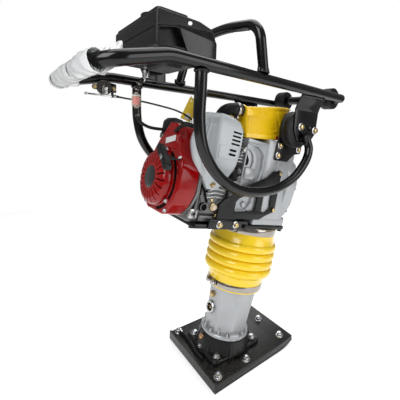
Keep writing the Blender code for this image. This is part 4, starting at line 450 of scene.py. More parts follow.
def bolt(bm, place, direction, radius=0.0085, height=0.006, head=0, washer=1, washer_radius=1.35, turn=0.3):
    """A hexagon head with a washer and a small domed top, standing on a face."""
    spot = along(place, direction, turn)
    thick = 0.0014
    add(bm,
        lathe([(0, thick), (radius * washer_radius * 0.93, thick), (radius * washer_radius, thick * 0.6),
               (radius * washer_radius, 0), (0, 0)], 28), spot, washer)
    add(bm, hexagon(radius, height, thick + height / 2, radius * 0.11), spot, head)
    add(bm,
        lathe([(0, thick + height + 0.0005), (radius * 0.5, thick + height + 0.0004),
               (radius * 0.66, thick + height - 0.0003)], 20), spot, head)


def piece(name, bm, body, materials, replaces=(), matrix=WORLD, sharp=38):
    """Make a shown piece from a shape; it rides on a body and stands for the CAD nodes named."""
    bm.transform(matrix)
    mesh = bpy.data.meshes.new(name)
    bm.to_mesh(mesh)
    bm.free()
    for material in materials:
        mesh.materials.append(MATERIALS[material])
    mesh.shade_smooth()
    mesh.set_sharp_from_angle(angle=math.radians(sharp))
    obj = bpy.data.objects.new(name, mesh)
    bpy.context.scene.collection.objects.link(obj)
    if replaces:
        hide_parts(*replaces)
    if body:
        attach(obj, body)
    return obj


def carve(shape, *cutters):
    """A shape with other shapes taken out of it."""
    def holder(bm, name):
        mesh = bpy.data.meshes.new(name)
        bm.to_mesh(mesh)
        bm.free()
        obj = bpy.data.objects.new(name, mesh)
        bpy.context.scene.collection.objects.link(obj)
        return obj
    main = holder(shape, "carved")
    tools = [holder(cutter, "cutter") for cutter in cutters]
    for tool in tools:
        step = main.modifiers.new("carve", "BOOLEAN")
        step.operation = "DIFFERENCE"
        step.solver = "EXACT"
        step.object = tool
    bpy.context.view_layer.update()
    mesh = bpy.data.meshes.new_from_object(main.evaluated_get(bpy.context.evaluated_depsgraph_get()))
    bm = bmesh.new()
    bm.from_mesh(mesh)
    for obj in [main] + tools:
        old = obj.data
        bpy.data.objects.remove(obj, do_unlink=True)
        bpy.data.meshes.remove(old)
    bpy.data.meshes.remove(mesh)
    return bm


def paint(node, material):
    """Give a carried-over CAD node a finished material."""
    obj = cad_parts[node]
    if not obj.material_slots:
        obj.data.materials.append(MATERIALS[material])
    for spot in obj.material_slots:
        spot.material = MATERIALS[material]


def side_plate(outlines, y_first, y_last, frame_matrix=WORLD, bevel=0.0015):
    """A side-view outline of (x, z) points between two values of y, in either order."""
    low, high = sorted((-y_first, -y_last))
    bm = plate(outlines, low, high, bevel)
    bm.transform(frame_matrix @ SIDE_VIEW)
    return bm


def rear_plate(outlines, x_low, x_high, frame_matrix=WORLD, bevel=0.0015, segments=2):
    """A rear-view outline of (y, z) points between two values of x."""
    bm = plate(outlines, x_low, x_high, bevel, segments)
    bm.transform(frame_matrix @ REAR_VIEW)
    return bm


# Foot: shoe, casting, leg and bellows

SHOE_HALF_X = 0.175
SOLE_THICK = 0.0062
SOLE_LIP_TOP = 0.0338
SHOE_HALF_Y = 0.1425
CURL_RUN = 0.07
CURL_RISE = 0.018
CURL = (CURL_RUN ** 2 + CURL_RISE ** 2) / (2 * CURL_RISE)
NOSE = SHOE_HALF_X - CURL_RUN
BLOCK_LOW = 0.0066
BLOCK_TOP = 0.03
STUD_WASHER = 0.0026
BLOCK_NOSE_TOP = 0.037


def rise_at(x):
    """Height that the turned-up nose has risen to."""
    run = max(0.0, x - NOSE)
    return CURL - math.sqrt(CURL ** 2 - run ** 2)


def make_shoe():
    """Sole with its folded lip and turned-up nose, the block and the studs with washers and nuts."""
    stations = [-SHOE_HALF_X, -SHOE_HALF_X + 0.006] + [NOSE * (index / 6) for index in range(1, 7)]
    stations += [NOSE + CURL_RUN * index / 8 for index in range(1, 9)]
    outline = [(-SHOE_HALF_X + 0.0002, SOLE_LIP_TOP), (-SHOE_HALF_X + 0.0002, 0.004),
               (-SHOE_HALF_X + 0.0035, 0.0002)]
    outline += [(x, rise_at(x) + 0.0002) for x in stations[2:]]
    outline += [(x - 0.0006 * max(0, x - NOSE) / CURL_RUN, rise_at(x) + SOLE_THICK)
                for x in reversed(stations[2:])]
    outline += [(-SHOE_HALF_X + SOLE_THICK, SOLE_THICK), (-SHOE_HALF_X + SOLE_THICK, SOLE_LIP_TOP)]
    bm = bmesh.new()
    add(bm, side_plate([outline], -SHOE_HALF_Y, SHOE_HALF_Y, bevel=0.0008))
    piece("sole", bm, "foot", ["shoe_black"], ["sole_plate"], sharp=30)

    top = [(NOSE + (CURL_RUN - 0.002) * index / 6) for index in range(7)]
    outline = [(-SHOE_HALF_X + BLOCK_LOW, BLOCK_TOP), (-SHOE_HALF_X + BLOCK_LOW, BLOCK_LOW)]
    outline += [(x, rise_at(x) + BLOCK_LOW) for x in stations[2:-1]]
    outline.append((SHOE_HALF_X - 0.002, rise_at(SHOE_HALF_X) + BLOCK_LOW))
    outline += [(x, BLOCK_TOP + (BLOCK_NOSE_TOP - BLOCK_TOP) * (x - NOSE) / CURL_RUN)
                for x in reversed(top)]
    bm = bmesh.new()
    add(bm, side_plate([outline], -SHOE_HALF_Y + 0.0003, SHOE_HALF_Y - 0.0003, bevel=0.0016))
    piece("shoe_pad", bm, "foot", ["shoe_black"], ["shoe_block"], sharp=30)

    bm = bmesh.new()
    places = [(x, side * 0.122) for x in (-0.149, -0.036) for side in (-1, 1)]
    places += [(0.138, side * 0.112) for side in (-1, 0, 1)]
    for x, y in places:
        slope = 0.1 if x > NOSE else 0.0
        z = BLOCK_TOP + max(0.0, x - NOSE) * 0.1
        tilt = Vector((-slope, 0, 1)).normalized()
        spot = along((x, y, z), tilt)
        turned = along((x, y, z), tilt, 0.4 + x * 9 + y * 5)
        add(bm, lathe([(0, STUD_WASHER), (0.0125, STUD_WASHER), (0.014, 0.0018), (0.014, 0), (0, 0)], 32),
            spot)
        add(bm, hexagon(0.0108, 0.0085, STUD_WASHER + 0.0042, 0.0013), turned)
        add(bm, lathe([(0, 0.0155), (0.004, 0.0155), (0.005, 0.0145), (0.005, 0.01)], 20), spot)
    piece("shoe_nuts", bm, "foot", ["zinc"])


FLANGE_X = -0.04
FLANGE_HALF_X = 0.1
FLANGE_HALF_Y = 0.09
CUP_TOP = 0.0745
CUP_TOP_RADIUS = 0.085
CUP_FOOT_RADIUS = 0.097


def leg_height_at(u, z):
    """Height along the leg at which a place u forward of its axis has the world height z."""
    return (z + u * math.sin(LEAN)) / math.cos(LEAN)


def make_foot_casting():
    """Flange with a raised rear rim, ribbed cone, the black bar behind it, its bolts and a copper plug."""
    bm = bmesh.new()
    low = BLOCK_TOP + GAP
    outline = rectangle((FLANGE_X - FLANGE_HALF_X, -FLANGE_HALF_Y),
                        (FLANGE_X + FLANGE_HALF_X, FLANGE_HALF_Y))
    add(bm, plate([rounded(outline, 0.018, 6)], low, low + 0.0118, 0.004, 3))
    for side in (-1, 1):
        x = FLANGE_X - FLANGE_HALF_X + 0.008
        add(bm,
            sweep(rounded([(x + 0.024, side * (FLANGE_HALF_Y - 0.006), low + 0.01),
                           (x, side * (FLANGE_HALF_Y - 0.008), low + 0.011), (x, 0, low + 0.012)], 0.014, 5,
                          closed=False), 0.0068, 16))
    sections = []
    steps = 96
    for share in (0.0, 0.04, 0.5, 0.93, 0.98, 1.0):
        ring = []
        for index in range(steps):
            angle = 2 * math.pi * index / steps
            radius = CUP_FOOT_RADIUS + 0.004 * (share < 0.02) + (CUP_TOP_RADIUS - CUP_FOOT_RADIUS) * share
            radius -= 0.0025 * (share > 0.99)
            u = radius * math.cos(angle)
            foot = leg_height_at(u, low + 0.009)
            ring.append((u, radius * math.sin(angle), foot + (CUP_TOP - foot) * share))
        sections.append(ring)
    add(bm, skin(sections), LEG)
    for index in range(8):
        angle = (index + 0.5) * math.pi / 4
        turn = spun(LEG, angle)
        foot = leg_height_at(0.1 * math.cos(angle), low + 0.009)
        outline = [(0.07, CUP_TOP - 0.004), (CUP_TOP_RADIUS + 0.0025, CUP_TOP - 0.004),
                   (CUP_FOOT_RADIUS + 0.005, foot), (0.07, foot)]
        add(bm, side_plate([rounded(outline, [0, 0.003, 0, 0])], -0.0032, 0.0032, turn, 0.0012))
    spots = [(FLANGE_X + sx * 0.076, sy * 0.068) for sx in (-1, 1) for sy in (-1, 1)]
    for x, y in spots:
        add(bm, lathe([(0, 0.016), (0.0135, 0.016), (0.0155, 0.0135), (0.017, 0.004)], 32),
            Matrix.Translation((x, y, low)))
    bar = [(-0.15, 0.116, low + 0.001), (-0.144, 0.098, low + 0.005), (-0.143, 0.0615, low + 0.0055),
           (-0.148, 0.0233, low + 0.0055), (-0.152, -0.0125, low + 0.004), (-0.148, -0.04, low + 0.001)]
    add(bm, sweep(flowing(bar, 0.004), 0.0062, 16))
    piece("foot_cast", bm, "foot", ["cast_black"], ["foot_casting"], sharp=32)

    bm = bmesh.new()
    for x, y in spots:
        bolt(bm, (x, y, low + 0.016), (0, 0, 1), 0.0098, 0.0062, 0, 0, 1.3, turn=0.2 + 3 * x)
        add(bm, lathe([(0, 0.0068), (0.0075, 0.0066), (0.0092, 0.0052)], 24),
            Matrix.Translation((x, y, low + 0.016)))
    bolt(bm, (FLANGE_X - 0.093, 0.0, low + 0.0165), (0, 0, 1), 0.008, 0.005, 0, 0, 1.2)
    piece("casting_bolts", bm, "foot", ["zinc"])

    bm = bmesh.new()
    angle = math.radians(176)
    spot = T(0.0915 * math.cos(angle), 0.0915 * math.sin(angle), 0.06)
    outward = leg_way(math.cos(angle), math.sin(angle), 0.12)
    bolt(bm, spot - outward.normalized() * 0.001, outward, 0.0088, 0.0055, 0, 0, 1.05)
    piece("casting_plug", bm, "foot", ["copper_zinc"])


LEG_FLAT_LOW = 0.0665
LEG_FLAT_HIGH = 0.0785
LEG_TAPER_TOP = 0.249


def leg_flat_at(height):
    """Distance from the leg's axis to its flat faces."""
    return LEG_FLAT_LOW + (LEG_FLAT_HIGH - LEG_FLAT_LOW) * (height - CUP_TOP) / (LEG_TAPER_TOP - CUP_TOP)


def octagon(flat):
    """Outline of the leg's eight-sided section with rounded corners."""
    reach = flat / math.cos(math.pi / 8)
    angles = [(index + 0.5) * math.pi / 4 for index in range(8)]
    return rounded([(reach * math.cos(angle), reach * math.sin(angle)) for angle in angles], 0.014, 5)


def make_leg():
    """Eight-sided leg housing with its bottom ring, ribs and lug, the fill plug and the oil sight."""
    low = CUP_TOP + GAP
    bm = bmesh.new()
    sections = []
    for height in (low + 0.002, 0.12, 0.18, 0.2485):
        sections.append([(p.x, p.y, height) for p in octagon(leg_flat_at(height))])
    add(bm, skin(sections), LEG)
    add(bm, lathe([(0, low + 0.012), (0.0795, low + 0.012), (0.0822, low + 0.0095), (0.083, low + 0.007),
                   (0.083, low + 0.002), (0.0815, low), (0, low)], 96), LEG)
    add(bm, lathe([(0.078, 0.356), (0.078, 0.267), (0.0865, 0.267), (0.0885, 0.265), (0.0885, 0.2395),
                   (0.08, 0.236), (0.07, 0.236)], 96), LEG)
    for index in range(16):
        angle = (index + 0.5) * math.pi / 8
        if abs(math.degrees(angle) - 258) < 14:
            continue
        turn = spun(LEG, angle)
        wide = 0.0028 if index % 2 else 0.0034
        inner = leg_flat_at(0.09) - 0.004
        add(bm, block((inner, -wide, low + 0.008), (0.0805, wide, low + (0.03 if index % 2 else 0.022)),
                      0.0022, 3), turn)
    lug = spun(LEG, math.radians(255))
    add(bm, block((0.058, -0.018, low + 0.002), (0.0828, 0.018, low + 0.022), 0.005, 4), lug)
    for angle in (math.radians(292.5), math.radians(112.5)):
        turn = Matrix.Rotation(angle, 4, "Z")
        points = [turn @ Vector((leg_flat_at(h) / math.cos(math.pi / 8) - 0.0022, 0, h))
                  for h in (low + 0.008, 0.13, 0.2, 0.243)]
        add(bm, sweep(points, 0.0024, 12), LEG)
    piece("leg_shell", bm, "foot", ["cast_silver"], ["leg_housing"], sharp=36)

    bm = bmesh.new()
    normal = leg_way(-1, 0, 0.03)
    bolt(bm, T(-leg_flat_at(0.205), 0.01, 0.205), normal, 0.0112, 0.0072, 0, 0, 1.08, turn=0.1)
    piece("fill_plug_head", bm, "foot", ["gold_zinc"], ["leg_fill_plug"])

    bm = bmesh.new()
    spot = along(T(-leg_flat_at(0.159) + 0.0005, 0.01, 0.159), leg_way(-1, 0, 0))
    add(bm, lathe([(0.0125, 0.0062), (0.0138, 0.0088), (0.0192, 0.0088), (0.0208, 0.0072), (0.0208, 0.0)],
                  48), spot)
    add(bm, lathe([(0, 0.0022), (0.0126, 0.0022), (0.0126, 0.0075)], 40), spot, 1)
    add(bm, rod((0, 0, 0.002), (0, 0, 0.0065), 0.0062, sides=6, bevel=0.0008), spot, 2)
    add(bm, lathe([(0, 0.0078), (0.0022, 0.0078), (0.0026, 0.0062)], 16), spot, 1)
    piece("sight_glass", bm, "foot", ["bright_steel", "painted_shade_and_black", "gold_zinc"], ["oil_sight"])


def bellows_profile():
    """Outer line of the bellows, top to bottom, with round ribs and tight valleys."""
    line = [(0.104, 0.4608), (0.1043, 0.4595), (0.1043, 0.44), (0.1046, 0.433), (0.106, 0.4215),
            (0.1078, 0.4145), (0.1092, 0.4098)]
    pitch = (0.3945 - 0.3112) / 3
    for index in range(4):
        height = 0.3945 - index * pitch
        for step in range(13):
            angle = math.radians(84 - 14 * step)
            line.append((0.1078 + 0.0112 * max(0.02, math.cos(angle)) ** 0.75,
                         height + 0.0128 * math.sin(angle)))
        if index < 3:
            line.append((0.1068, height - pitch / 2))
    line += [(0.1055, 0.2965), (0.103, 0.289), (0.1002, 0.283), (0.0976, 0.277), (0.096, 0.271),
             (0.0954, 0.266), (0.0952, 0.248), (0.0956, 0.2462), (0.0958, 0.2435), (0.095, 0.2418),
             (0.092, 0.2417)]
    return line


def make_bellows():
    """Ribbed rubber bellows between the two clamp bands."""
    outer = bellows_profile()
    inner = [(radius - 0.0035, height) for radius, height in reversed(outer[2:-3])]
    bm = lathe(outer + [(0.0892, 0.2417)] + inner + [(0.1003, 0.4605)], 112, closed=True)
    bellows = piece("bellows_skin", bm, None, ["bellows_yellow"], ["bellows"], matrix=LEG, sharp=60)
    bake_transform(bellows)

    bands = [("lower_band", "lower_clamp", "foot", 0.0953, 0.2462, 0.019, 174),
             ("upper_band", "upper_clamp", "upper", 0.1045, 0.4385, 0.0222, 198)]
    for name, node, body, cuff, low, width, angle in bands:
        bm = bmesh.new()
        inner = cuff + GAP
        outer = inner + 0.0016
        high = low + width
        add(bm, lathe([(inner, high), (outer - 0.0003, high), (outer, high - 0.0008), (outer, low + 0.0008),
                       (outer - 0.0003, low), (inner, low)], 112, closed=True), LEG)
        turn = spun(LEG, math.radians(angle))
        middle = (low + high) / 2
        for offset in (-0.014, 0.016):
            add(bm, block((outer - 0.001, offset - 0.0045, low + 0.001),
                          (outer + 0.0105, offset + 0.0045, high - 0.001), 0.0018, 3), turn)
        add(bm, rod((outer + 0.0058, -0.021, middle), (outer + 0.0058, 0.023, middle), 0.003, sides=20,
                    bevel=0.0005), turn, 1)
        add(bm, rod((outer + 0.0058, 0.0205, middle), (outer + 0.0058, 0.0265, middle), 0.0052, sides=6,
                    bevel=0.0008), turn, 1)
        add(bm, block((outer - 0.0002, -0.03, low + 0.0015), (outer + 0.0012, 0.03, high - 0.0015), 0.0005,
                      1), turn)
        piece(name, bm, body, ["clamp_steel", "zinc"], [node], sharp=34)


# Crankcase, engine deck and brackets

ENGINE_Y = -0.012
ENGINE_W = 0.574
GEAR_W = ENGINE_W + math.sqrt(0.09 ** 2 - 0.012 ** 2)
BASE_LOW = 0.4618
DRUM_W = 0.627
CAP_FACE = 0.1012
BRACKET_INNER = 0.0953
BRACKET_OUTER = 0.1013
LIP_OUTER = 0.1073
MOUNT_FOOT_OUTER = 0.1003
DECK_TOP = 0.4738
CASE_HALF = 0.095
AXLE = LEG @ Matrix.Translation((0, ENGINE_Y, ENGINE_W)) @ Matrix.Rotation(-math.pi / 2, 4, "Y")


def drum_outline(inset=0.0):
    """Rear-view outline of the crankcase's front: an arch over a foot that narrows."""
    radius = 0.1065 - inset
    arch = [(radius * math.cos(angle), DRUM_W + radius * math.sin(angle))
            for angle in (-0.26 + (math.pi + 0.52) * index / 48 for index in range(49))]
    return arch + [(inset - 0.0977, 0.5515), (inset - 0.079, 0.507 + inset), (0.079 - inset, 0.507 + inset),
                   (0.0977 - inset, 0.5515)]


def make_base():
    """Black base plate over the bellows, and its bolts."""
    bm = bmesh.new()
    outline = rounded(rectangle((-0.095, -0.095), (0.095, 0.095)), 0.012, 5)
    add(bm, plate([outline, circle((0, 0), 0.054, 48)], BASE_LOW, DECK_TOP, 0.0018), LEG)
    piece("base_plate", bm, "upper", ["gloss_black"], ["base_flange"])
    bm = bmesh.new()
    for x in (-0.083, 0.083):
        for y in (-0.083, 0.083):
            bolt(bm, T(x, y, BASE_LOW), leg_way(0, 0, -1), 0.0078, 0.0066, 0, 0, 1.15, turn=x * 9 + y)
    piece("base_bolts", bm, "upper", ["plate_black"])


def make_crankcase():
    """Silver crankcase: main block, foot, recessed rear part with its rim, bosses and round front."""
    bm = bmesh.new()
    hall = block((-0.054, 0.008 - CASE_HALF, 0.48), (0.062, CASE_HALF - 0.008, 0.742), 0)
    add(bm, carve(block((-0.062, -CASE_HALF, 0.494), (0.07, CASE_HALF, 0.752), 0.006, 3), hall), LEG)
    throat = block((-0.052, -0.06, 0.45), (0.058, 0.06, 0.52), 0)
    add(bm, carve(block((-0.068, -0.0945, DECK_TOP + GAP), (0.085, 0.0945, 0.505), 0.006, 3), throat), LEG)
    add(bm, side_plate([rectangle((-0.15, 0.5), (-0.055, 0.735))], -0.086, 0.086, LEG, 0.003))
    rim = rounded([(-0.15, 0.735), (-0.15, 0.5), (-0.056, 0.5), (-0.056, 0.735)], 0.002, 2)
    hollow = rounded([(-0.1435, 0.716), (-0.108, 0.7155), (-0.079, 0.699), (-0.0755, 0.65), (-0.0855, 0.59),
                      (-0.094, 0.545), (-0.112, 0.519), (-0.1435, 0.519)],
                     [0.004, 0.015, 0.018, 0.03, 0.03, 0.02, 0.01, 0.004], 6)
    for side in (-1, 1):
        add(bm, side_plate([rim, hollow], side * 0.08, side * 0.0912, LEG, 0.0022))
        points = [T(u, side * 0.0915, w) for u, w in ((-0.15, 0.7205), (-0.1085, 0.7195), (-0.0755, 0.701),
                                                      (-0.0715, 0.65), (-0.0815, 0.59), (-0.0895, 0.545),
                                                      (-0.104, 0.52))]
        add(bm, sweep(rounded(points, 0.016, 6, closed=False), 0.0036, 12))
        arch = arc((-0.152, 0.667), 0.058, -70, 90, 24) + arc((-0.152, 0.667), 0.036, 90, -70, 24)
        add(bm, side_plate([arch], side * 0.082, side * 0.0925, LEG, 0.004))
        add(bm, block((-0.146, side * 0.08, 0.613), (-0.1, side * 0.0975, 0.65), 0.009, 2), LEG)
        # Painted shade: a near-black patch on the recessed side stands for the dark opening.
        window = rounded([(-0.1497, 0.689), (-0.138, 0.685), (-0.1295, 0.671), (-0.131, 0.656),
                          (-0.1497, 0.651)], 0.006, 4)
        add(bm, side_plate([window], side * 0.0845, side * 0.0868, LEG, 0.0004), slot=1)
        for u, w in ((-0.137, 0.56), (-0.118, 0.536)):
            add(bm, rod((u, side * 0.08, w), (u, side * 0.0925, w), 0.0105, 0.0085, 24, 0.0015), LEG)
        add(bm, block((-0.01, side * 0.093, 0.515), (0.06, side * 0.0968, 0.7), 0.0015), LEG)
    add(bm, rear_plate([drum_outline()], 0.05, 0.0938, LEG, 0.0035, 3))
    for index in range(3):
        w = 0.548 + index * 0.05
        add(bm, block((-0.1545, -0.07, w), (-0.148, 0.07, w + 0.006), 0.0015), LEG)
    for u in (-0.128, -0.105, 0.055):
        add(bm, rod((u, 0.0, 0.73), (u, 0.0, 0.7475 if u < 0 else 0.7545), 0.011, 0.009, 24, 0.0015), LEG)
    piece("crankcase_casting", bm, "upper", ["cast_silver", "painted_shade_and_black"], ["crankcase"], sharp=40)


def make_lid():
    """Round front cover of the crankcase with its ribs and bolts, and the clutch bell."""
    bm = bmesh.new()
    add(bm, rear_plate([drum_outline(0.003)], 0.0943, CAP_FACE, LEG, 0.002, 3))
    centre = LEG @ Matrix.Translation((0, 0, GEAR_W))
    front = centre @ Matrix.Rotation(math.pi / 2, 4, "Y")
    add(bm, lathe([(0, 0.1143), (0.034, 0.1143), (0.046, 0.1125), (0.06, 0.104), (0.064, 0.1005),
                   (0, 0.1005)], 72), front)
    for index in range(6):
        turn = centre @ Matrix.Rotation(index * math.pi / 3 + 0.3, 4, "X")
        add(bm, block((0.1, -0.0022, 0.04), (0.1085, 0.0022, 0.0665), 0.0015), turn)
    piece("crankcase_lid", bm, "upper", ["cast_silver"], ["crankcase_cover"])
    bm = bmesh.new()
    spots = arc((0, DRUM_W), 0.0965, -10, 190, 8)
    spots += [(-0.078, 0.527), (0.0, 0.517), (0.078, 0.527)]
    for y, w in spots:
        bolt(bm, T(CAP_FACE, y, w), leg_way(1, 0, 0), 0.0055, 0.004, 0, 0, 1.3, turn=y * 30)
    bolt(bm, T(0.06, 0.0, 0.7545), leg_way(0, 0, 1), 0.009, 0.006, 0, 0, 1.1)
    piece("lid_bolts", bm, "upper", ["zinc"])

    bm = bmesh.new()
    bell = [(0.068, 0.1503), (0.0745, 0.1503), (0.075, 0.153), (0.0735, 0.16), (0.0735, 0.17),
            (0.075, 0.1765), (0.075, 0.1797), (0.068, 0.1797)]
    add(bm, lathe(bell, 80, closed=True), AXLE)
    for index in range(12):
        turn = spun(AXLE, index * math.pi / 6 + 0.2)
        add(bm, block((0.07, -0.003, 0.1515), (0.0795, 0.003, 0.1785), 0.0018), turn)
    piece("clutch_bell", bm, "upper", ["cast_bright"], ["clutch_housing"])


def make_deck():
    """Engine deck with its folded lips, and the pressed side brackets with their bolts."""
    bm = bmesh.new()
    add(bm, block((-0.285, -BRACKET_OUTER, BASE_LOW), (-0.0953, BRACKET_OUTER, DECK_TOP), 0.0018), LEG)
    for side in (-1, 1):
        outline = rounded(rectangle((-0.245, 0.4628), (-0.1, 0.49)), [0.004, 0.004, 0.007, 0.007], 4)
        add(bm, side_plate([outline], side * 0.1003, side * LIP_OUTER, LEG, 0.0012))
        add(bm, block((-0.284, side * 0.07, 0.456), (-0.11, side * 0.08, 0.4625), 0.0015), LEG)
    piece("deck_plate", bm, "upper", ["gloss_black"], ["engine_deck"])
    outline = rounded([(-0.218, 0.4741), (-0.218, 0.53), (-0.2, 0.548), (-0.142, 0.583), (-0.114, 0.601),
                       (-0.048, 0.631), (-0.024, 0.6545), (0.004, 0.658), (0.0135, 0.643), (0.0155, 0.5335),
                       (0.006, 0.52), (-0.024, 0.508), (-0.048, 0.4945), (-0.145, 0.4925), (-0.15, 0.4741)],
                      [0.002, 0.008, 0.01, 0.01, 0.01, 0.01, 0.008, 0.008, 0.008, 0.01, 0.006, 0.01, 0.01,
                       0.006, 0.002], 4)
    rear_window = rounded([(-0.16, 0.5135), (-0.162, 0.54), (-0.147, 0.5555), (-0.0765, 0.586),
                           (-0.0745, 0.5215)], 0.007, 4)
    front_window = rounded([(-0.0465, 0.52), (-0.0505, 0.597), (-0.017, 0.607), (-0.0155, 0.5747),
                            (-0.01, 0.532), (-0.027, 0.518)], 0.005, 4)
    for name, side in SIDES:
        bm = bmesh.new()
        add(bm, side_plate([outline, rear_window, front_window], side * BRACKET_INNER, side * BRACKET_OUTER,
                           LEG, 0.0012))
        for u, w in ((-0.052, 0.622), (-0.01, 0.64)):
            add(bm, rod((u, side * 0.1003, w), (u, side * 0.1022, w), 0.0055, 0.004, 20), LEG)
        piece("bracket_sheet_" + name, bm, "upper", ["plate_black"], ["side_bracket_" + name])
        bm = bmesh.new()
        outward = Vector((0, side, 0))
        for u, w in ((0.0012, 0.6525), (0.004, 0.53)):
            bolt(bm, T(u, side * BRACKET_OUTER, w), outward, 0.007, 0.0062, 0, 2, 1.35, turn=u * 40)
        for u, w in ((-0.2085, 0.4765), (-0.1485, 0.4775)):
            bolt(bm, T(u, side * LIP_OUTER, w), outward, 0.0078, 0.0064, 0, 1, 1.35, turn=u * 9)
        bolt(bm, T(-0.11, side * LIP_OUTER, 0.4725), outward, 0.0068, 0.005, 2, 2, 1.2)
        piece("bracket_bolts_" + name, bm, "upper", ["gold_zinc", "zinc", "plate_black"])


# Engine

def shroud_outline(inset=0.0, rounding=0.014):
    """Rear-view outline of the fan shroud."""
    side = 0.098 - inset
    low = 0.484 + inset
    corners = [(ENGINE_Y - 0.045, low), (ENGINE_Y + 0.045, low), (ENGINE_Y + side - 0.018, low + 0.034),
               (ENGINE_Y + side, ENGINE_W - 0.02), (ENGINE_Y + side, ENGINE_W + 0.035),
               (ENGINE_Y + 0.056 - inset, 0.672), (ENGINE_Y + 0.006 - inset / 2, 0.728 - inset),
               (ENGINE_Y - 0.03 + inset / 2, 0.724 - inset), (ENGINE_Y - 0.066 + inset, 0.668),
               (ENGINE_Y - side, ENGINE_W + 0.048), (ENGINE_Y - side, ENGINE_W - 0.02),
               (ENGINE_Y - side + 0.018, low + 0.034)]
    return rounded(corners, [0.03, 0.03, 0.03, 0.04, 0.03, 0.02, rounding, rounding, 0.03, 0.04, 0.04,
                             0.03], 5)


def make_block():
    """Engine block with its back plate, ribs, covers, plugs and pipes, and the finned cylinder."""
    bm = bmesh.new()
    half = 0.078
    add(bm, block((-0.2985, ENGINE_Y - half + 0.01, DECK_TOP + GAP),
                  (-0.1803, ENGINE_Y + half - 0.01, 0.6395), 0.006, 3), LEG)
    add(bm, rear_plate([shroud_outline(0.0)], -0.305, -0.2975, LEG, 0.0015), slot=3)
    for side in (-1, 1):
        face = ENGINE_Y + side * (half - 0.01)
        outer = ENGINE_Y + side * half
        cover = rounded([(-0.272, 0.5), (-0.206, 0.5), (-0.192, 0.52), (-0.192, 0.578), (-0.218, 0.6),
                         (-0.258, 0.596), (-0.276, 0.57), (-0.28, 0.52)], 0.012, 4)
        add(bm, side_plate([cover], face - side * 0.004, outer - side * 0.002, LEG, 0.003))
        for index in range(5):
            w = 0.545 + index * 0.011
            points = [(-0.262 + index * 0.006, outer - side * 0.002, w), (-0.232, outer, w + 0.006),
                      (-0.2, outer - side * 0.002, w + 0.003)]
            add(bm, sweep(in_leg(points), 0.0026, 10), slot=1)
        for u, w, radius in ((-0.2625, 0.563, 0.0085), (-0.196, 0.585, 0.0075), (-0.288, 0.4985, 0.0075),
                             (-0.196, 0.505, 0.0075)):
            top = outer + side * 0.0015
            add(bm, rod((u, face, w), (u, top, w), radius, sides=28, bevel=0.0012), LEG, 3)
            add(bm, rod((u, top - side * 0.0005, w), (u, top + side * 0.0012, w), radius * 0.52, sides=6,
                        bevel=0.0004), LEG, 2)
        add(bm, rod((-0.23, face, 0.5215), (-0.23, outer + side * 0.003, 0.5215), 0.012, 0.011, 36, 0.002),
            LEG, 5)
        add(bm, rod((-0.23, outer + side * 0.002, 0.5215), (-0.23, outer + side * 0.0095, 0.5215), 0.0085,
                    0.008, 10, 0.001), LEG, 4)
        add(bm, block((-0.3, face, 0.485), (-0.274, outer - side * 0.0005, 0.512), 0.004, 2), LEG, 1)
        add(bm, block((-0.27, face, 0.478), (-0.2, outer - side * 0.0005, 0.496), 0.004, 2), LEG)
        add(bm, rod((-0.264, face, 0.5196), (-0.264, outer + side * 0.006, 0.5196), 0.0135, 0.012, 32,
                    0.0015), LEG, 2)
        add(bm, lathe([(0.0095, 0.0075), (0.0112, 0.0075), (0.0115, 0.0055), (0.009, 0.0055)], 32,
                      closed=True), LEG @ along((-0.264, outer, 0.5196), (0, side, 0)), 3)
        for u, w, turn in ((-0.246, 0.54, 0.5), (-0.272, 0.54, -0.4), (-0.212, 0.536, 0.9)):
            place = LEG @ Matrix.Translation((u, outer - side * 0.003, w)) @ Matrix.Rotation(turn, 4, "Y")
            add(bm, block((-0.0035, -0.004, -0.013), (0.0035, 0.004, 0.013), 0.0012), place, 3)
        add(bm, rod((-0.24, face, 0.5405), (-0.24, outer + side * 0.004, 0.5405), 0.0045, 0.0045, 16,
                    0.0008), LEG, 5)
        add(bm, rod((-0.2165, face, 0.4985), (-0.2165, outer + side * 0.006, 0.4985), 0.0065, 0.0065, 6,
                    0.0008), LEG, 5)
        points = [(-0.286, outer - side * 0.004, 0.64), (-0.286, outer - side * 0.001, 0.56),
                  (-0.284, outer - side * 0.003, 0.486)]
        add(bm, sweep(in_leg(points), 0.004, 14), slot=3)
        points = [(-0.275, outer, 0.575), (-0.262, outer + side * 0.002, 0.548), (-0.255, outer, 0.535),
                  (-0.246, outer - side * 0.003, 0.53)]
        add(bm, sweep(in_leg(flowing(points, 0.004)), 0.0026, 10), slot=2)
    piece("engine_casting", bm, "upper", ["cast_dull", "cast_bright", "painted_shade_and_black", "grey_alloy",
                                          "cream_plastic", "gold_zinc"], ["engine_block"])

    bm = bmesh.new()
    add(bm, block((-0.2955, ENGINE_Y - 0.042, 0.6405), (-0.2055, ENGINE_Y + 0.042, 0.7245), 0.004, 2), LEG)
    for index in range(8):
        w = 0.647 + index * 0.0092
        outline = rounded(rectangle((-0.2958, ENGINE_Y - 0.0548), (-0.2052, ENGINE_Y + 0.0548)), 0.012, 4)
        add(bm, plate([outline], w, w + 0.0026, 0.0008, 1), LEG)
    add(bm, rod((-0.25, ENGINE_Y + 0.01, 0.72), (-0.25, ENGINE_Y + 0.01, 0.7258), 0.015, sides=32,
                bevel=0.001), LEG)
    piece("cylinder_fins", bm, "upper", ["cast_bright"], ["engine_cylinder"])


def crescent(inner, outer, first, last, low, high, bevel=0.001):
    """Part of a flat ring about the engine's axle, between two angles."""
    edge = arc((0, 0), outer, first, last, 40)
    back = arc((0, 0), inner, first, last, 40)
    return plate([edge + back[::-1]], low, high, bevel)


BOSS_ANGLES = (-12, 110, 232)
BOSS_RADIUS = 0.0795
BOSS_TOP = 0.3672


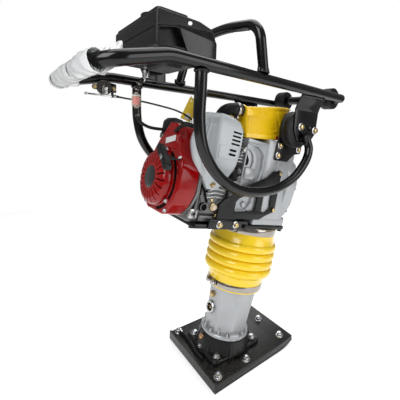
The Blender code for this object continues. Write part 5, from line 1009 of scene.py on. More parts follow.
def make_shroud():
    """Glossy red fan shroud with its raised lip and bosses, its bolts, and the slotted recoil cover with
    its centre label.
    """
    bm = bmesh.new()
    add(bm, rear_plate([shroud_outline(0.0003, 0.02)], -0.3618, -0.3056, LEG, 0.0055, 4))
    add(bm, crescent(0.085, 0.0905, -150, -60, 0.355, 0.364, 0.002), AXLE)
    add(bm, crescent(0.0835, 0.0925, 35, 160, 0.355, 0.3665, 0.0028), AXLE)
    add(bm, block((-0.365, ENGINE_Y - 0.055, 0.655), (-0.35, ENGINE_Y + 0.024, 0.694), 0.006, 3), LEG)
    for angle in BOSS_ANGLES:
        turn = spun(AXLE, math.radians(angle))
        add(bm, rod((BOSS_RADIUS, 0, 0.358), (BOSS_RADIUS, 0, BOSS_TOP), 0.0085, 0.0075, 24, 0.0012), turn)
    piece("shroud_red", bm, "upper", ["red_gloss"], ["fan_shroud"], sharp=50)
    bm = bmesh.new()
    # Painted shadow: a near-black crescent on the shroud's face where the recoil cover's rim shades it.
    add(bm, crescent(0.0718, 0.083, -172, -25, 0.36, 0.363, 0.0002), AXLE)
    for angle in BOSS_ANGLES:
        turn = spun(AXLE, math.radians(angle))
        bolt(bm, turn @ Vector((BOSS_RADIUS, 0, BOSS_TOP)), AXLE.to_3x3() @ Vector((0, 0, 1)), 0.0046,
             0.0035, 1, 1, 1.35)
    for y, w in ((-0.07, 0.5), (0.046, 0.5)):
        bolt(bm, T(-0.3618, y, w), leg_way(-1, 0, 0), 0.0046, 0.0035, 1, 1, 1.35)
    piece("shroud_bolts_and_shadow", bm, "upper", ["painted_shade_and_black", "zinc"])

    shell = lathe([(0, 0.392), (0.03, 0.392), (0.0325, 0.3926), (0.056, 0.3915), (0.0645, 0.3893),
                   (0.0695, 0.3845), (0.0716, 0.378), (0.072, 0.37), (0.072, 0.3626), (0.0697, 0.3626),
                   (0.0697, 0.377), (0.067, 0.3835), (0.062, 0.3872), (0.055, 0.389), (0, 0.3895)], 120)
    slots = bmesh.new()
    for index in range(22):
        turn = Matrix.Rotation(2 * math.pi * (index + 0.5) / 22, 4, "Z")
        add(slots, block((0.0365, -0.0017, 0.38), (0.069, 0.0017, 0.397), 0.0012, 2), turn)
    bm = bmesh.new()
    add(bm, carve(shell, slots), AXLE)
    add(bm, lathe([(0.0716, 0.366), (0.0745, 0.365), (0.0752, 0.3626), (0.0716, 0.3626)], 120, closed=True),
        AXLE)
    piece("recoil_shell", bm, "upper", ["red_gloss"], ["recoil_cover"], sharp=35)
    bm = bmesh.new()
    add(bm, lathe([(0, 0.3933), (0.0285, 0.3933), (0.0293, 0.3928), (0.0293, 0.3918), (0, 0.3918)], 64),
        AXLE)
    # Painted shade: a near-black disc just under the slots stands for the dark inside of the cover.
    add(bm, lathe([(0, 0.379), (0.0685, 0.379), (0.0685, 0.378), (0, 0.378)], 64), AXLE, 1)
    piece("recoil_label_and_painted_shade", bm, "upper", ["label_dark", "painted_shade_and_black"])


ROPE_Y = -0.095
ROPE_W = 0.632


def make_starter():
    """Pull grip with its metal insert and the rope behind it."""
    bm = bmesh.new()
    place = LEG @ Matrix.Translation((-0.405, ROPE_Y, ROPE_W)) @ Matrix.Rotation(math.radians(38.5), 4, "X")
    flank = [(0.0085, -0.042), (0.0098, -0.02), (0.0085, 0.0), (0.0098, 0.02), (0.0085, 0.042)]
    flank += [(-x, z) for x, z in reversed(flank)]
    profile = rounded(flank[-1:] + flank[:-1], ([0.008, 0.008] + [0.02] * 3) * 2, 4)
    shape = plate([[(p.y, p.x) for p in profile]], -0.008, 0.008, 0.0035, 3)
    shape.transform(REAR_VIEW)
    add(bm, shape, place)
    add(bm, block((-0.0088, -0.033, -0.0055), (-0.007, -0.01, 0.0055), 0.0008), place)
    add(bm, block((-0.0092, -0.006, -0.0048), (-0.007, 0.006, 0.0048), 0.0012), place, 1)
    add(bm, rod((-0.0098, 0, 0), (-0.008, 0, 0), 0.0026, sides=20, bevel=0.0004), place, 1)
    add(bm, lathe([(0, 0.022), (0.0042, 0.022), (0.006, 0.008), (0.006, 0.0), (0, 0)], 24),
        LEG @ along((-0.399, ROPE_Y, ROPE_W), (1, 0, 0)))
    add(bm, rod((-0.4, ROPE_Y, ROPE_W), (-0.3185, ROPE_Y, ROPE_W), 0.002, sides=14), LEG)
    piece("pull_grip", bm, "starter_grip", ["plastic_black", "bright_steel"], ["starter_grip"])


GUARD_ROWS = ((0.572, -0.276, -0.108, -0.268, -0.112, -0.236),
              (0.592, -0.294, -0.108, -0.277, -0.119, -0.232),
              (0.615, -0.318, -0.11, -0.29, -0.138, -0.229), (0.645, -0.34, -0.112, -0.298, -0.152, -0.224),
              (0.69, -0.353, -0.112, -0.302, -0.155, -0.222),
              (0.735, -0.337, -0.105, -0.305, -0.154, -0.224),
              (0.757, -0.322, -0.095, -0.301, -0.147, -0.234),
              (0.768, -0.305, -0.085, -0.29, -0.132, -0.25))
WIDE_SLOTS = (0.682, 0.671)


def guard_row(height):
    """Sizes of the muffler guard's section at a height, between the measured ones."""
    rows = [GUARD_ROWS[0]] + list(GUARD_ROWS) + [GUARD_ROWS[-1]]
    for index in range(1, len(rows) - 2):
        low, high = rows[index][0], rows[index + 1][0]
        if low <= height <= high + 1e-9:
            share = (height - low) / (high - low)
            return [curve_at(*values, share) for values in zip(*rows[index - 1:index + 3])][1:]
    return list(GUARD_ROWS[-1][1:])


def guard_form(inset, lowest):
    """Closed form of the muffler guard, drawn in by the wall for its hollow."""
    sections = []
    heights = [lowest + (0.757 - lowest) * index / 18 for index in range(19)] + [0.761, 0.7645, 0.7668,
                                                                                 0.768]
    for height in heights:
        rear, flank, edge, outer, front = guard_row(height)
        near = outer + inset
        inner = min(0.75 * (0.01 - flank), (front - rear) / 2)
        corner = 0.2 * (flank - outer)
        crown = max(0.0, height - 0.757) / 0.011
        size = 1.0 - 0.25 * crown
        outline = rounded([(rear + inner + inset, 0.01), (rear + inset, flank + inset / 2),
                           (edge + inset - 0.15 * (edge - rear), near + corner), (edge + inset / 2, near),
                           (front - 0.008, near), (front - inset, near + 0.008), (front - inset, 0.01)],
                          [0.0, 0.014 * size, 0.01 * size, 0.012 * size, 0.006, 0.006, 0.0], 4)
        sections.append([(point.x, point.y, min(height, 0.768 - inset)) for point in outline])
    return skin(sections)


def make_guard():
    """Light grey muffler guard with beads, inset panel and slots, painted shade for the holes of its
    pierced edge and behind its slots, and the muffler inside.
    """
    fins = ENGINE_Y - 0.055 - GAP
    cutters = [guard_form(0.0035, 0.612)]
    cutters.append(block((-0.373, fins, 0.552), (-0.202, 0.03, 0.788), 0))
    cutters.append(block((-0.383, ENGINE_Y - 0.078 - GAP, 0.542), (-0.192, 0.02, 0.6403), 0))
    cutters.append(rear_plate([shroud_outline(-0.0008)], -0.372, -0.2967, bevel=0))
    panel = rounded([(-0.2975, 0.625), (-0.2965, 0.7455), (-0.2, 0.7435), (-0.2, 0.6)], [0.02, 0.012, 0, 0],
                    6)
    cutters.append(side_plate([panel], -0.17, -0.1528, bevel=0))
    slots = bmesh.new()
    for index in range(4):
        w = 0.7285 - 0.01 * index
        add(slots, block((-0.2615, -0.17, w - 0.0024), (-0.2325, -0.14, w + 0.0024), 0.0012, 2))
    for w in WIDE_SLOTS:
        add(slots, block((-0.263, -0.17, w - 0.0028), (-0.24, -0.14, w + 0.0028), 0.0025, 3))
    cutters.append(slots)
    shell = carve(guard_form(0.0, 0.572), *cutters)
    bm = bmesh.new()
    add(bm, shell, LEG)
    lip = rounded([(-0.295, 0.657), (-0.295, 0.6905), (-0.233, 0.6905), (-0.233, 0.657)], 0.006, 4)
    holes = [rounded(rectangle((-0.2635, w - 0.0032), (-0.2395, w + 0.0032)), 0.003, 3) for w in WIDE_SLOTS]
    add(bm, side_plate([lip] + holes, -0.1542, -0.152, LEG, 0.0006))
    for share in (0.3, 0.42, 0.54):
        points = []
        for step in range(15):
            height = 0.607 + 0.157 * step / 14
            rear, flank, edge, outer = guard_row(height)[:4]
            corner = 0.2 * (flank - outer)
            start = Vector((rear, flank))
            end = Vector((edge - 0.15 * (edge - rear), outer + corner))
            spot = start.lerp(end, share + 0.12)
            points.append(T(spot.x, spot.y, height))
        radii = [0.0006 + 0.002 * math.sin(math.pi * min(1.0, (i + 0.5) / 7)) if i < 4 else 0.0026
                 for i in range(15)]
        add(bm, sweep(points, radii, 10))
    bolt(bm, T(-0.266, -0.115, 0.586), leg_way(0, -1, 0), 0.0062, 0.005, 1, 1, 1.35)
    # Painted shade: near-black blocks along the front edge stand for the dark holes of the pierced edge.
    for index in range(13):
        w = 0.64 + index * 0.0075
        front = guard_row(w)[4]
        add(bm, block((front - 0.0042, -0.1548, w - 0.0018), (front - 0.0012, -0.1435, w + 0.0018), 0.0005,
                      1), LEG, 2)
    # Near-black muffler body, a near-black sheet just behind the slots and a block beside it: the muffler
    # is black in itself, and all three are also painted shade seen through the guard's openings.
    add(bm, block((-0.318, -0.138, 0.628), (-0.236, -0.074, 0.742), 0.012, 3), LEG, 2)
    add(bm, block((-0.272, -0.149, 0.66), (-0.2255, -0.14, 0.738), 0.001), LEG, 2)
    add(bm, block((-0.2205, -0.1, 0.64), (-0.2065, -0.0705, 0.742), 0.003, 2), LEG, 2)
    piece("guard_shell", bm, "upper", ["guard_grey", "gold_zinc", "painted_shade_and_black"], ["muffler_guard"], sharp=42)


def make_engine_front():
    """Plug boot and castings between the muffler guard and the crankcase."""
    bm = bmesh.new()
    points = [(-0.18, -0.084, 0.642), (-0.19, -0.098, 0.633), (-0.199, -0.11, 0.62),
              (-0.203, -0.115, 0.606)]
    add(bm, sweep(in_leg(flowing(points, 0.004)), 0.0105, 20))
    add(bm, collar(0.0085, 0.0118, 0.006, -0.002, 24),
        LEG @ along((-0.201, -0.113, 0.612), (-0.3, -0.4, -1)), 1)
    for u, y, w, radius in ((-0.17, -0.102, 0.634, 0.009), (-0.163, -0.1, 0.612, 0.01),
                            (-0.182, -0.098, 0.608, 0.0085)):
        add(bm, rod((u, -0.06, w), (u, y, w), radius, radius * 0.82, 28, 0.002), LEG, 3)
        add(bm, rod((u, y, w), (u, y - 0.0025, w), radius * 0.5, sides=6, bevel=0.0006), LEG, 3)
    add(bm, block((-0.2, -0.094, 0.588), (-0.152, -0.062, 0.606), 0.006, 3), LEG, 2)
    add(bm, block((-0.203, -0.06, 0.59), (-0.151, 0.05, 0.64), 0.006, 3), LEG, 2)
    add(bm, side_plate([rounded([(-0.164, 0.694), (-0.1505, 0.69), (-0.1515, 0.711)], 0.002, 3)], -0.092,
                       -0.086, LEG, 0.001), slot=2)
    add(bm, block((-0.19, -0.084, 0.652), (-0.1505, 0.06, 0.705), 0.008, 3), LEG, 3)
    for index in range(5):
        w = 0.6585 + 0.0098 * index
        add(bm, block((-0.186, -0.0862, w), (-0.1525, -0.083, w + 0.0042), 0.0012, 1), LEG, 2)
    piece("engine_front", bm, "upper", ["plastic_black", "rubber_black", "cast_bright", "cast_dull"])


def make_air_side():
    """Carburettor box with lid, seam, screws and cover, the stop switch and the lead on the shroud."""
    bm = bmesh.new()
    low_y = ENGINE_Y + 0.055 + GAP
    add(bm, block((-0.2955, low_y, 0.655), (-0.24, 0.104, 0.742), 0.009, 4), LEG)
    add(bm, block((-0.2925, 0.103, 0.659), (-0.243, 0.118, 0.738), 0.008, 4), LEG)
    add(bm, block((-0.2962, 0.1, 0.6545), (-0.2393, 0.1045, 0.7425), 0.0015), LEG)
    for u, w in ((-0.285, 0.668), (-0.25, 0.668), (-0.285, 0.729), (-0.25, 0.729)):
        bolt(bm, T(u, 0.118, w), Vector((0, 1, 0)), 0.004, 0.003, 1, 1, 1.3)
    add(bm, block((-0.286, 0.05, 0.738), (-0.25, 0.095, 0.7465), 0.004, 3), LEG)
    cover = rounded([(-0.3345, 0.692), (-0.3345, 0.735), (-0.322, 0.7485), (-0.294, 0.746),
                     (-0.294, 0.692)], [0.008, 0.012, 0.012, 0.004, 0.004], 5)
    add(bm, side_plate([cover], 0.048, 0.1, LEG, 0.005))
    add(bm, side_plate([rounded([(-0.3365, 0.7), (-0.3365, 0.729), (-0.333, 0.729), (-0.333, 0.7)], 0.001)],
                       0.056, 0.09, LEG, 0.001))
    add(bm, rod((-0.2415, 0.074, 0.702), (-0.2345, 0.074, 0.702), 0.021, sides=32, bevel=0.001), LEG)
    piece("carburettor_case", bm, "upper", ["plastic_black", "zinc"], ["carburettor_box"])
    bm = bmesh.new()
    spot = LEG @ along((-0.2958, 0.085, 0.69), (-1, 0, 0))
    add(bm, lathe([(0, 0.0425), (0.006, 0.0425), (0.0072, 0.041), (0.0072, 0.03), (0.008, 0.0285),
                   (0.008, 0.0)], 28), spot)
    add(bm, block((-0.0017, -0.0078, 0.04), (0.0017, 0.0078, 0.0458), 0.001), spot)
    piece("switch_knob", bm, "stop_switch", ["grey_alloy"], ["stop_switch"])
    bm = bmesh.new()
    points = [T(-0.365, -0.048, 0.7), T(-0.3655, -0.06, 0.7075), T(-0.362, -0.074, 0.716),
              T(-0.352, -0.0835, 0.72), T(-0.336, -0.086, 0.72), T(-0.32, -0.078, 0.719)]
    add(bm, sweep(flowing(points, 0.003), 0.0042, 16))
    piece("shroud_lead", bm, "upper", ["rubber_black"])


# Air filter and its hose

INLET_Y = -0.06
INLET_Z = 0.829


def make_air_filter():
    """Moulded filter housing with its band, seam, duct, ribs and bolts."""
    bm = bmesh.new()
    outline = rounded([(-0.067, 0.8395), (0.07, 0.8525), (0.129, 0.8545), (0.129, 0.825), (0.08, 0.7475),
                       (-0.06, 0.752)], [0.006, 0.01, 0.008, 0.02, 0.004, 0.006], 5)
    add(bm, side_plate([outline], -0.08, 0.045, bevel=0.008))
    band = rounded([(-0.064, 0.766), (0.0915, 0.76), (0.083, 0.7455), (-0.0615, 0.75)], 0.002, 3)
    add(bm, side_plate([band], -0.0822, 0.0472, bevel=0.002))
    seam = rounded([(-0.05, 0.837), (0.07, 0.8478), (0.129, 0.8495), (0.129, 0.845), (0.07, 0.843),
                    (-0.05, 0.8325)], 0.0015, 3)
    add(bm, side_plate([seam], -0.0812, 0.0462, bevel=0.001))
    duct = rounded([(-0.0685, 0.8385), (-0.018, 0.842), (-0.0165, 0.8164), (-0.068, 0.8118)], 0.003, 4)
    add(bm, side_plate([duct], -0.085, -0.04, bevel=0.003))
    add(bm, rod((-0.06, INLET_Y, INLET_Z), (-0.07, INLET_Y, INLET_Z), 0.0172, sides=48, bevel=0.001))
    for side in (-0.0805, 0.0455):
        fold = rounded([(0.06, 0.837), (0.123, 0.839), (0.121, 0.819), (0.093, 0.772)], 0.006, 4)
        add(bm, side_plate([fold], side - 0.0012, side + 0.0012, bevel=0.0008))
    for side in (-0.0802, 0.0452):
        frame_rib = rounded([(-0.048, 0.808), (0.062, 0.818), (0.07, 0.77), (-0.048, 0.776)], 0.006, 4)
        window = rounded([(-0.045, 0.805), (0.059, 0.8145), (0.0668, 0.7732), (-0.045, 0.779)], 0.005, 4)
        add(bm, side_plate([frame_rib, window], side - 0.001, side + 0.001, bevel=0.0006))
    for index in range(4):
        x = -0.02 + 0.03 * index
        add(bm, block((x, -0.05, 0.838), (x + 0.005, 0.016, 0.8475 + 0.082 * x), 0.0015, 2))
    piece("filter_case", bm, "upper", ["filter_yellow"], ["air_filter"], sharp=42)
    bm = bmesh.new()
    add(bm, block((0.066, -0.0835, 0.748), (0.074, -0.0795, 0.76), 0.001))
    for x in (-0.03, 0.095):
        bolt(bm, (x, -0.017, 0.845 + 0.06 * x), (0, 0, 1), 0.0045, 0.0034, 1, 1, 1.2, turn=x * 20)
    piece("filter_trim", bm, "upper", ["red_gloss", "zinc"])


def make_elbow():
    """Ribbed elbow hose from the carburettor box to the air filter, with a clamp at each end."""
    bm = bmesh.new()
    to_leg = LEG.inverted()
    end = to_leg @ Vector((-0.069, INLET_Y, INLET_Z))
    inlet = to_leg @ Vector((-0.087, INLET_Y, INLET_Z))
    route = flowing([(-0.2345, 0.074, 0.702), (-0.224, 0.074, 0.702), (-0.196, 0.066, 0.706),
                     (-0.182, 0.046, 0.726), (-0.196, 0.022, 0.75), (-0.212, -0.008, 0.772),
                     (-0.221, -0.036, 0.792), (-0.214, -0.055, 0.803), inlet, end], 0.003)
    count = len(route) - 1
    radii = []
    for index in range(count + 1):
        share = index / count
        rib = max(0.0, math.sin(index * 1.35)) if 0.14 < share < 0.62 else 0.0
        radii.append(0.0168 + 0.0018 * rib + (0.0012 if share < 0.07 or share > 0.93 else 0.0))
    add(bm, sweep(in_leg(route), radii, 36))
    for spot, direction in ((Vector((-0.085, INLET_Y, INLET_Z)), Vector((1, 0, 0))),
                            (T(-0.23, 0.074, 0.702), leg_way(1, 0, 0))):
        ring = along(spot, direction)
        add(bm, lathe(mirrored([(0.0181, 0.0055), (0.0196, 0.0055), (0.02, 0.005)]), 48, closed=True), ring,
            1)
        for offset in (-0.005, 0.005):
            add(bm, block((offset - 0.0022, -0.0275, -0.004), (offset + 0.0022, -0.0185, 0.004), 0.001),
                ring, 1)
        add(bm, rod((-0.0095, -0.0235, 0), (0.012, -0.0235, 0), 0.0023, sides=16, bevel=0.0004), ring, 1)
        add(bm, rod((0.0085, -0.0235, 0), (0.0125, -0.0235, 0), 0.0042, sides=20, bevel=0.0006), ring, 1)
    piece("elbow_hose", bm, "upper", ["rubber_black", "clamp_steel"], ["intake_elbow"], sharp=50)


# Handle mounts

MOUNT = T(0.012, 0, 0.8)
PLATE_INNER = 0.1362
TUBE_RADIUS = 0.01425
HANDLE_Z = 0.9035
ROLLER_X = 0.303
ROLLER_Y = 0.108
FRONT_X = 0.312
BEND_X = -0.364
BAR_X = -0.495
BAR_Z = 0.868
LIGHT_TUBE_RADIUS = 0.0135


def handle_side(x):
    """Distance of a side tube from the middle plane."""
    return 0.166 - 0.05 * x


def handle_level(x, side):
    """Height of a side tube's axis."""
    return HANDLE_Z - ((0.0065 + 0.0035 * (x - BEND_X) / (FRONT_X - BEND_X)) if side > 0 else 0)


def make_mounts():
    """Crankcase brackets, ribbed rubber drums and the plates that hang from the handle."""
    foot = rounded([(-0.036, 0.69), (0.028, 0.694), (0.056, 0.724), (0.088, 0.732), (0.086, 0.786),
                    (0.046, 0.846), (-0.026, 0.846), (-0.034, 0.8)], 0.009, 5)
    x, z = MOUNT.x, MOUNT.z
    lower = rounded([(x - 0.0325, z + 0.0665), (x - 0.0325, z), (x - 0.012, z - 0.04), (x + 0.05, z - 0.04),
                     (x + 0.08, z - 0.008), (x + 0.0855, z + 0.0665)],
                    [0.002, 0.03, 0.016, 0.022, 0.03, 0.002], 6)
    slots = [rounded([(x + 0.02, z + 0.004), (x + 0.052, z - 0.004), (x + 0.054, z + 0.014),
                      (x + 0.024, z + 0.02)], 0.006, 4)]
    for name, side in SIDES:
        outward = Vector((0, side, 0))
        bm = bmesh.new()
        add(bm, side_plate([foot], side * BRACKET_INNER, side * MOUNT_FOOT_OUTER, LEG, 0.0012))
        add(bm, lathe([(0, 0.006), (0.03, 0.006), (0.034, 0.0045), (0.034, 0), (0, 0)], 48),
            along(Vector((x, side * 0.096, z)), outward))
        for u, w in ((-0.022, 0.74), (-0.023, 0.707), (0.072, 0.744)):
            bolt(bm, T(u, side * MOUNT_FOOT_OUTER, w), outward, 0.0078, 0.0066, 1, 2, 1.4, turn=u * 30)
        piece("mount_foot_" + name, bm, "upper", ["plate_black", "gold_zinc", "zinc"],
              ["mount_bracket_" + name])

        bm = bmesh.new()
        profile = [(0, 0.1008), (0.0545, 0.1008), (0.057, 0.103), (0.058, 0.107), (0.0572, 0.112),
                   (0.0545, 0.116), (0.0535, 0.1185), (0.0545, 0.121), (0.0572, 0.125), (0.058, 0.13),
                   (0.057, 0.134), (0.0545, 0.1359), (0, 0.1359)]
        add(bm, lathe(profile, 96), along(Vector((x, 0, z)), outward))
        piece("rubber_drum_" + name, bm, "upper", ["rubber_black"], ["rubber_mount_" + name], sharp=60)

        bm = bmesh.new()
        add(bm, side_plate([lower] + slots, side * PLATE_INNER, side * (PLATE_INNER + 0.005), WORLD,
                           0.0012))
        reach = handle_side(x)
        foot_z = handle_level(x + 0.0855, side) - TUBE_RADIUS - GAP
        sections = []
        for share in (0.0, 0.25, 0.5, 0.75, 1.0):
            base = PLATE_INNER + (reach - 0.0025 - PLATE_INNER) * (share ** 1.3)
            height = z + 0.06 + (foot_z - z - 0.06) * share
            sections.append([(x - 0.0325, side * base, height), (x + 0.0855, side * base, height),
                             (x + 0.0855, side * (base + 0.005), height),
                             (x - 0.0325, side * (base + 0.005), height)])
        add(bm, round_edges(skin(sections), 0.001, 2, 60))
        for dx in (-0.03, 0.083):
            add(bm,
                sweep([(x + dx, side * (reach - 0.001), foot_z - 0.0015),
                       (x + dx * 0.9 + 0.004, side * (reach - 0.001), foot_z - 0.0015)], 0.004, 12))
        add(bm,
            sweep([(x - 0.03, side * (reach - 0.002), foot_z - 0.0012),
                   (x + 0.026, side * (reach + 0.002), foot_z - 0.0016),
                   (x + 0.083, side * (reach - 0.002), foot_z - 0.0012)], 0.0032, 12))
        for dx, dz in ((0.0, 0.01), (0.073, 0.002)):
            bolt(bm, (x + dx, side * (PLATE_INNER + 0.005), z + dz), outward, 0.0088, 0.0072, 1, 2, 1.45,
                 turn=dx * 9 + 0.2)
        for dx, dz in ((0.046, -0.022), (0.008, -0.026)):
            bolt(bm, (x + dx, side * (PLATE_INNER + 0.005), z + dz), outward, 0.0058, 0.0045, 0, 0, 1.3)
        piece("hanger_plate_" + name, bm, "upper", ["gloss_black", "gold_zinc", "zinc"],
              ["mount_plate_" + name])


# Handle frame

def weld(bm, centre, direction, radius):
    """A slightly uneven weld bead round a tube's end."""
    spot = along(centre, direction)
    points = []
    for index in range(49):
        angle = 2 * math.pi * index / 48
        points.append(spot
                      @ Vector((radius * math.cos(angle), radius * math.sin(angle),
                                0.0006 * math.sin(index * 1.9))))
    add(bm, sweep(points, [0.0026 + 0.0004 * math.sin(index * 2.4) for index in range(49)], 10))


def make_handle():
    """Bent side tubes and rear bar in one run, the front cross tube, welds and the tank's side plates."""
    corners = []
    for side in (-1, 1):
        leg = [(x, side * handle_side(x), handle_level(x, side)) for x in (FRONT_X, BEND_X)]
        leg.append((BAR_X, side * handle_side(BAR_X), BAR_Z))
        corners += leg if side < 0 else list(reversed(leg))
    radii = [0, 0.12, 0.05, 0.05, 0.12, 0]
    bm = bmesh.new()
    add(bm, sweep(rounded(corners, radii, 12, closed=False), TUBE_RADIUS, 40))
    for side in (-1, 1):
        tip = Vector((FRONT_X, side * handle_side(FRONT_X), handle_level(FRONT_X, side)))
        back = Vector((-1, side * 0.05, 0)).normalized()
        add(bm, rod(tip + back * 0.006, tip - back * 0.0008, TUBE_RADIUS + 0.0002, sides=40, bevel=0.0012))
        weld(bm, (ROLLER_X, side * (handle_side(ROLLER_X) - TUBE_RADIUS + 0.001), HANDLE_Z), (0, 1, 0),
             0.0158)
    half = handle_side(ROLLER_X) - 0.004
    add(bm, rod((ROLLER_X, -half, HANDLE_Z), (ROLLER_X, half, HANDLE_Z), 0.016, sides=40))
    for side in (-1, 1):
        for edge in (0.085, 0.131):
            add(bm, collar(0.016, 0.0215, -0.0022, 0.0006, 36), along((ROLLER_X, side * edge, HANDLE_Z),
                                                                      (0, side, 0)))
        middle = side * handle_side(-0.29)
        level = handle_level(-0.245, side) + 0.0025
        add(bm, block((-0.29, side * 0.1303, level), (-0.245, middle, level + 0.005), 0.001))
        outline = rounded([(-0.3185, 0.978), (-0.234, 0.9835), (-0.219, 0.966), (-0.218, level + 0.001),
                           (-0.285, level + 0.001)], [0.003, 0.012, 0.008, 0.002, 0.004], 5)
        add(bm, side_plate([outline], side * 0.1303, side * 0.1335, WORLD, 0.001))
    piece("handle_tubes", bm, "upper", ["gloss_black"], ["handle_frame"], sharp=40)


def make_rollers():
    """Two rubber rollers with grooved faces and ribbed treads."""
    profile = mirrored([(0.0163, 0.02), (0.0225, 0.02), (0.024, 0.0175), (0.03, 0.0175), (0.0315, 0.02),
                        (0.0345, 0.0195), (0.0362, 0.018), (0.0365, 0.016)])
    for name, side in SIDES:
        bm = bmesh.new()
        middle = (ROLLER_X, side * ROLLER_Y, HANDLE_Z)
        add(bm, lathe(profile, 72, closed=True), along(middle, (0, 1, 0)))
        for index in range(18):
            angle = 2 * math.pi * index / 18
            spot = Matrix.Translation(middle) @ Matrix.Rotation(angle, 4, "Y")
            add(bm, block((-0.0013, -0.015, 0.0355), (0.0013, 0.015, 0.0368), 0.0005), spot)
        piece("wheel_" + name, bm, "roller_" + name, ["rubber_black"], ["roller_" + name])


ARCH_LEFT_X = -0.146
ARCH_RIGHT_X = -0.098
HOOP_TOP_X = -0.288


def make_arch():
    """Lifting arch across the handle, with its weld beads and foot plates."""
    bm = bmesh.new()
    foot_left = handle_level(ARCH_LEFT_X, 1) + TUBE_RADIUS + GAP
    foot_right = handle_level(ARCH_RIGHT_X, -1) + TUBE_RADIUS + GAP
    left_y = handle_side(ARCH_LEFT_X)
    right_y = -handle_side(ARCH_RIGHT_X)
    arch = [(ARCH_RIGHT_X, right_y, foot_right), (ARCH_RIGHT_X, right_y, foot_right + 0.008),
            (-0.118, -0.1669, 1.03), (-0.118, 0, 1.054), (-0.118, 0.1669, 1.03),
            (ARCH_LEFT_X, left_y, foot_left + 0.008), (ARCH_LEFT_X, left_y, foot_left)]
    route = rounded(arch, [0, 0.036, 0.042, 0.6, 0.042, 0.036, 0], 10, closed=False)
    add(bm, sweep(route, LIGHT_TUBE_RADIUS, 36))
    for x, y, z in ((ARCH_RIGHT_X, right_y, foot_right + 0.0015),
                    (ARCH_LEFT_X, left_y, foot_left + 0.0015)):
        weld(bm, (x, y, z), (0, 0, 1), 0.014)
        add(bm, block((x - 0.02, y - 0.0025, z - 0.0015), (x + 0.02, y + 0.0025, z + 0.012), 0.002))
    piece("arch_tube", bm, "upper", ["gloss_black"], ["lifting_arch"], sharp=50)


def make_hoops():
    """Guard hoop on each side, from its weld on the handle round the engine to the hanger plate."""
    end_y = PLATE_INNER + 0.005 + LIGHT_TUBE_RADIUS + GAP
    top_y = handle_side(HOOP_TOP_X)
    for name, side in SIDES:
        top = handle_level(HOOP_TOP_X, side) - TUBE_RADIUS - GAP
        places = [(HOOP_TOP_X, top_y, top), (HOOP_TOP_X, top_y, 0.85), (-0.286, top_y - 0.003, 0.78),
                  (-0.268, top_y - 0.006, 0.715), (-0.222, 0.171, 0.657), (-0.16, 0.169, 0.62),
                  (-0.085, 0.168, 0.605), (-0.005, 0.167, 0.609), (0.07, 0.166, 0.637),
                  (0.12, 0.165, 0.684), (0.139, 0.161, 0.722), (0.134, end_y, 0.75), (0.124, end_y, 0.768)]
        bm = bmesh.new()
        route = flowing([(x, side * y, z) for x, y, z in places], 0.006)
        add(bm, sweep(route, LIGHT_TUBE_RADIUS, 36))
        weld(bm, (HOOP_TOP_X, side * top_y, top - 0.0015), (0, 0, 1), 0.014)
        end = Vector((0.124, side * end_y, 0.768))
        add(bm, lathe([(0, 0.0045), (0.0075, 0.0035), (0.012, 0.0), (0.0134, -0.003), (0, -0.003)], 32),
            along(end, (-0.01, 0, 0.018)))
        for dz in (-0.012, 0.0, 0.01):
            x = 0.118 - dz * 0.6
            add(bm, block((x, side * 0.1413, 0.762 + dz), (0.13 - dz * 0.6, side * 0.15, 0.768 + dz),
                          0.002))
        piece("hoop_tube_" + name, bm, "upper", ["gloss_black"], ["guard_hoop_" + name], sharp=50)


# Grip and film

def make_grip():
    """Rubber grip on the rear bar."""
    bm = bmesh.new()
    centre = Matrix.Translation((BAR_X, 0, BAR_Z)) @ Matrix.Rotation(math.pi / 2, 4, "X")
    end = [(0.0148, 0.13), (0.017, 0.13), (0.0178, 0.128)]
    grooves = [(0.0178 if index % 2 else 0.0172, 0.124 - 0.248 * index / 32) for index in range(33)]
    profile = end + grooves + mirrored(end)[3:]
    add(bm, lathe(profile, 48, closed=True), centre)
    piece("grip_sleeve", bm, "upper", ["rubber_black"], ["rear_grip"], sharp=50)


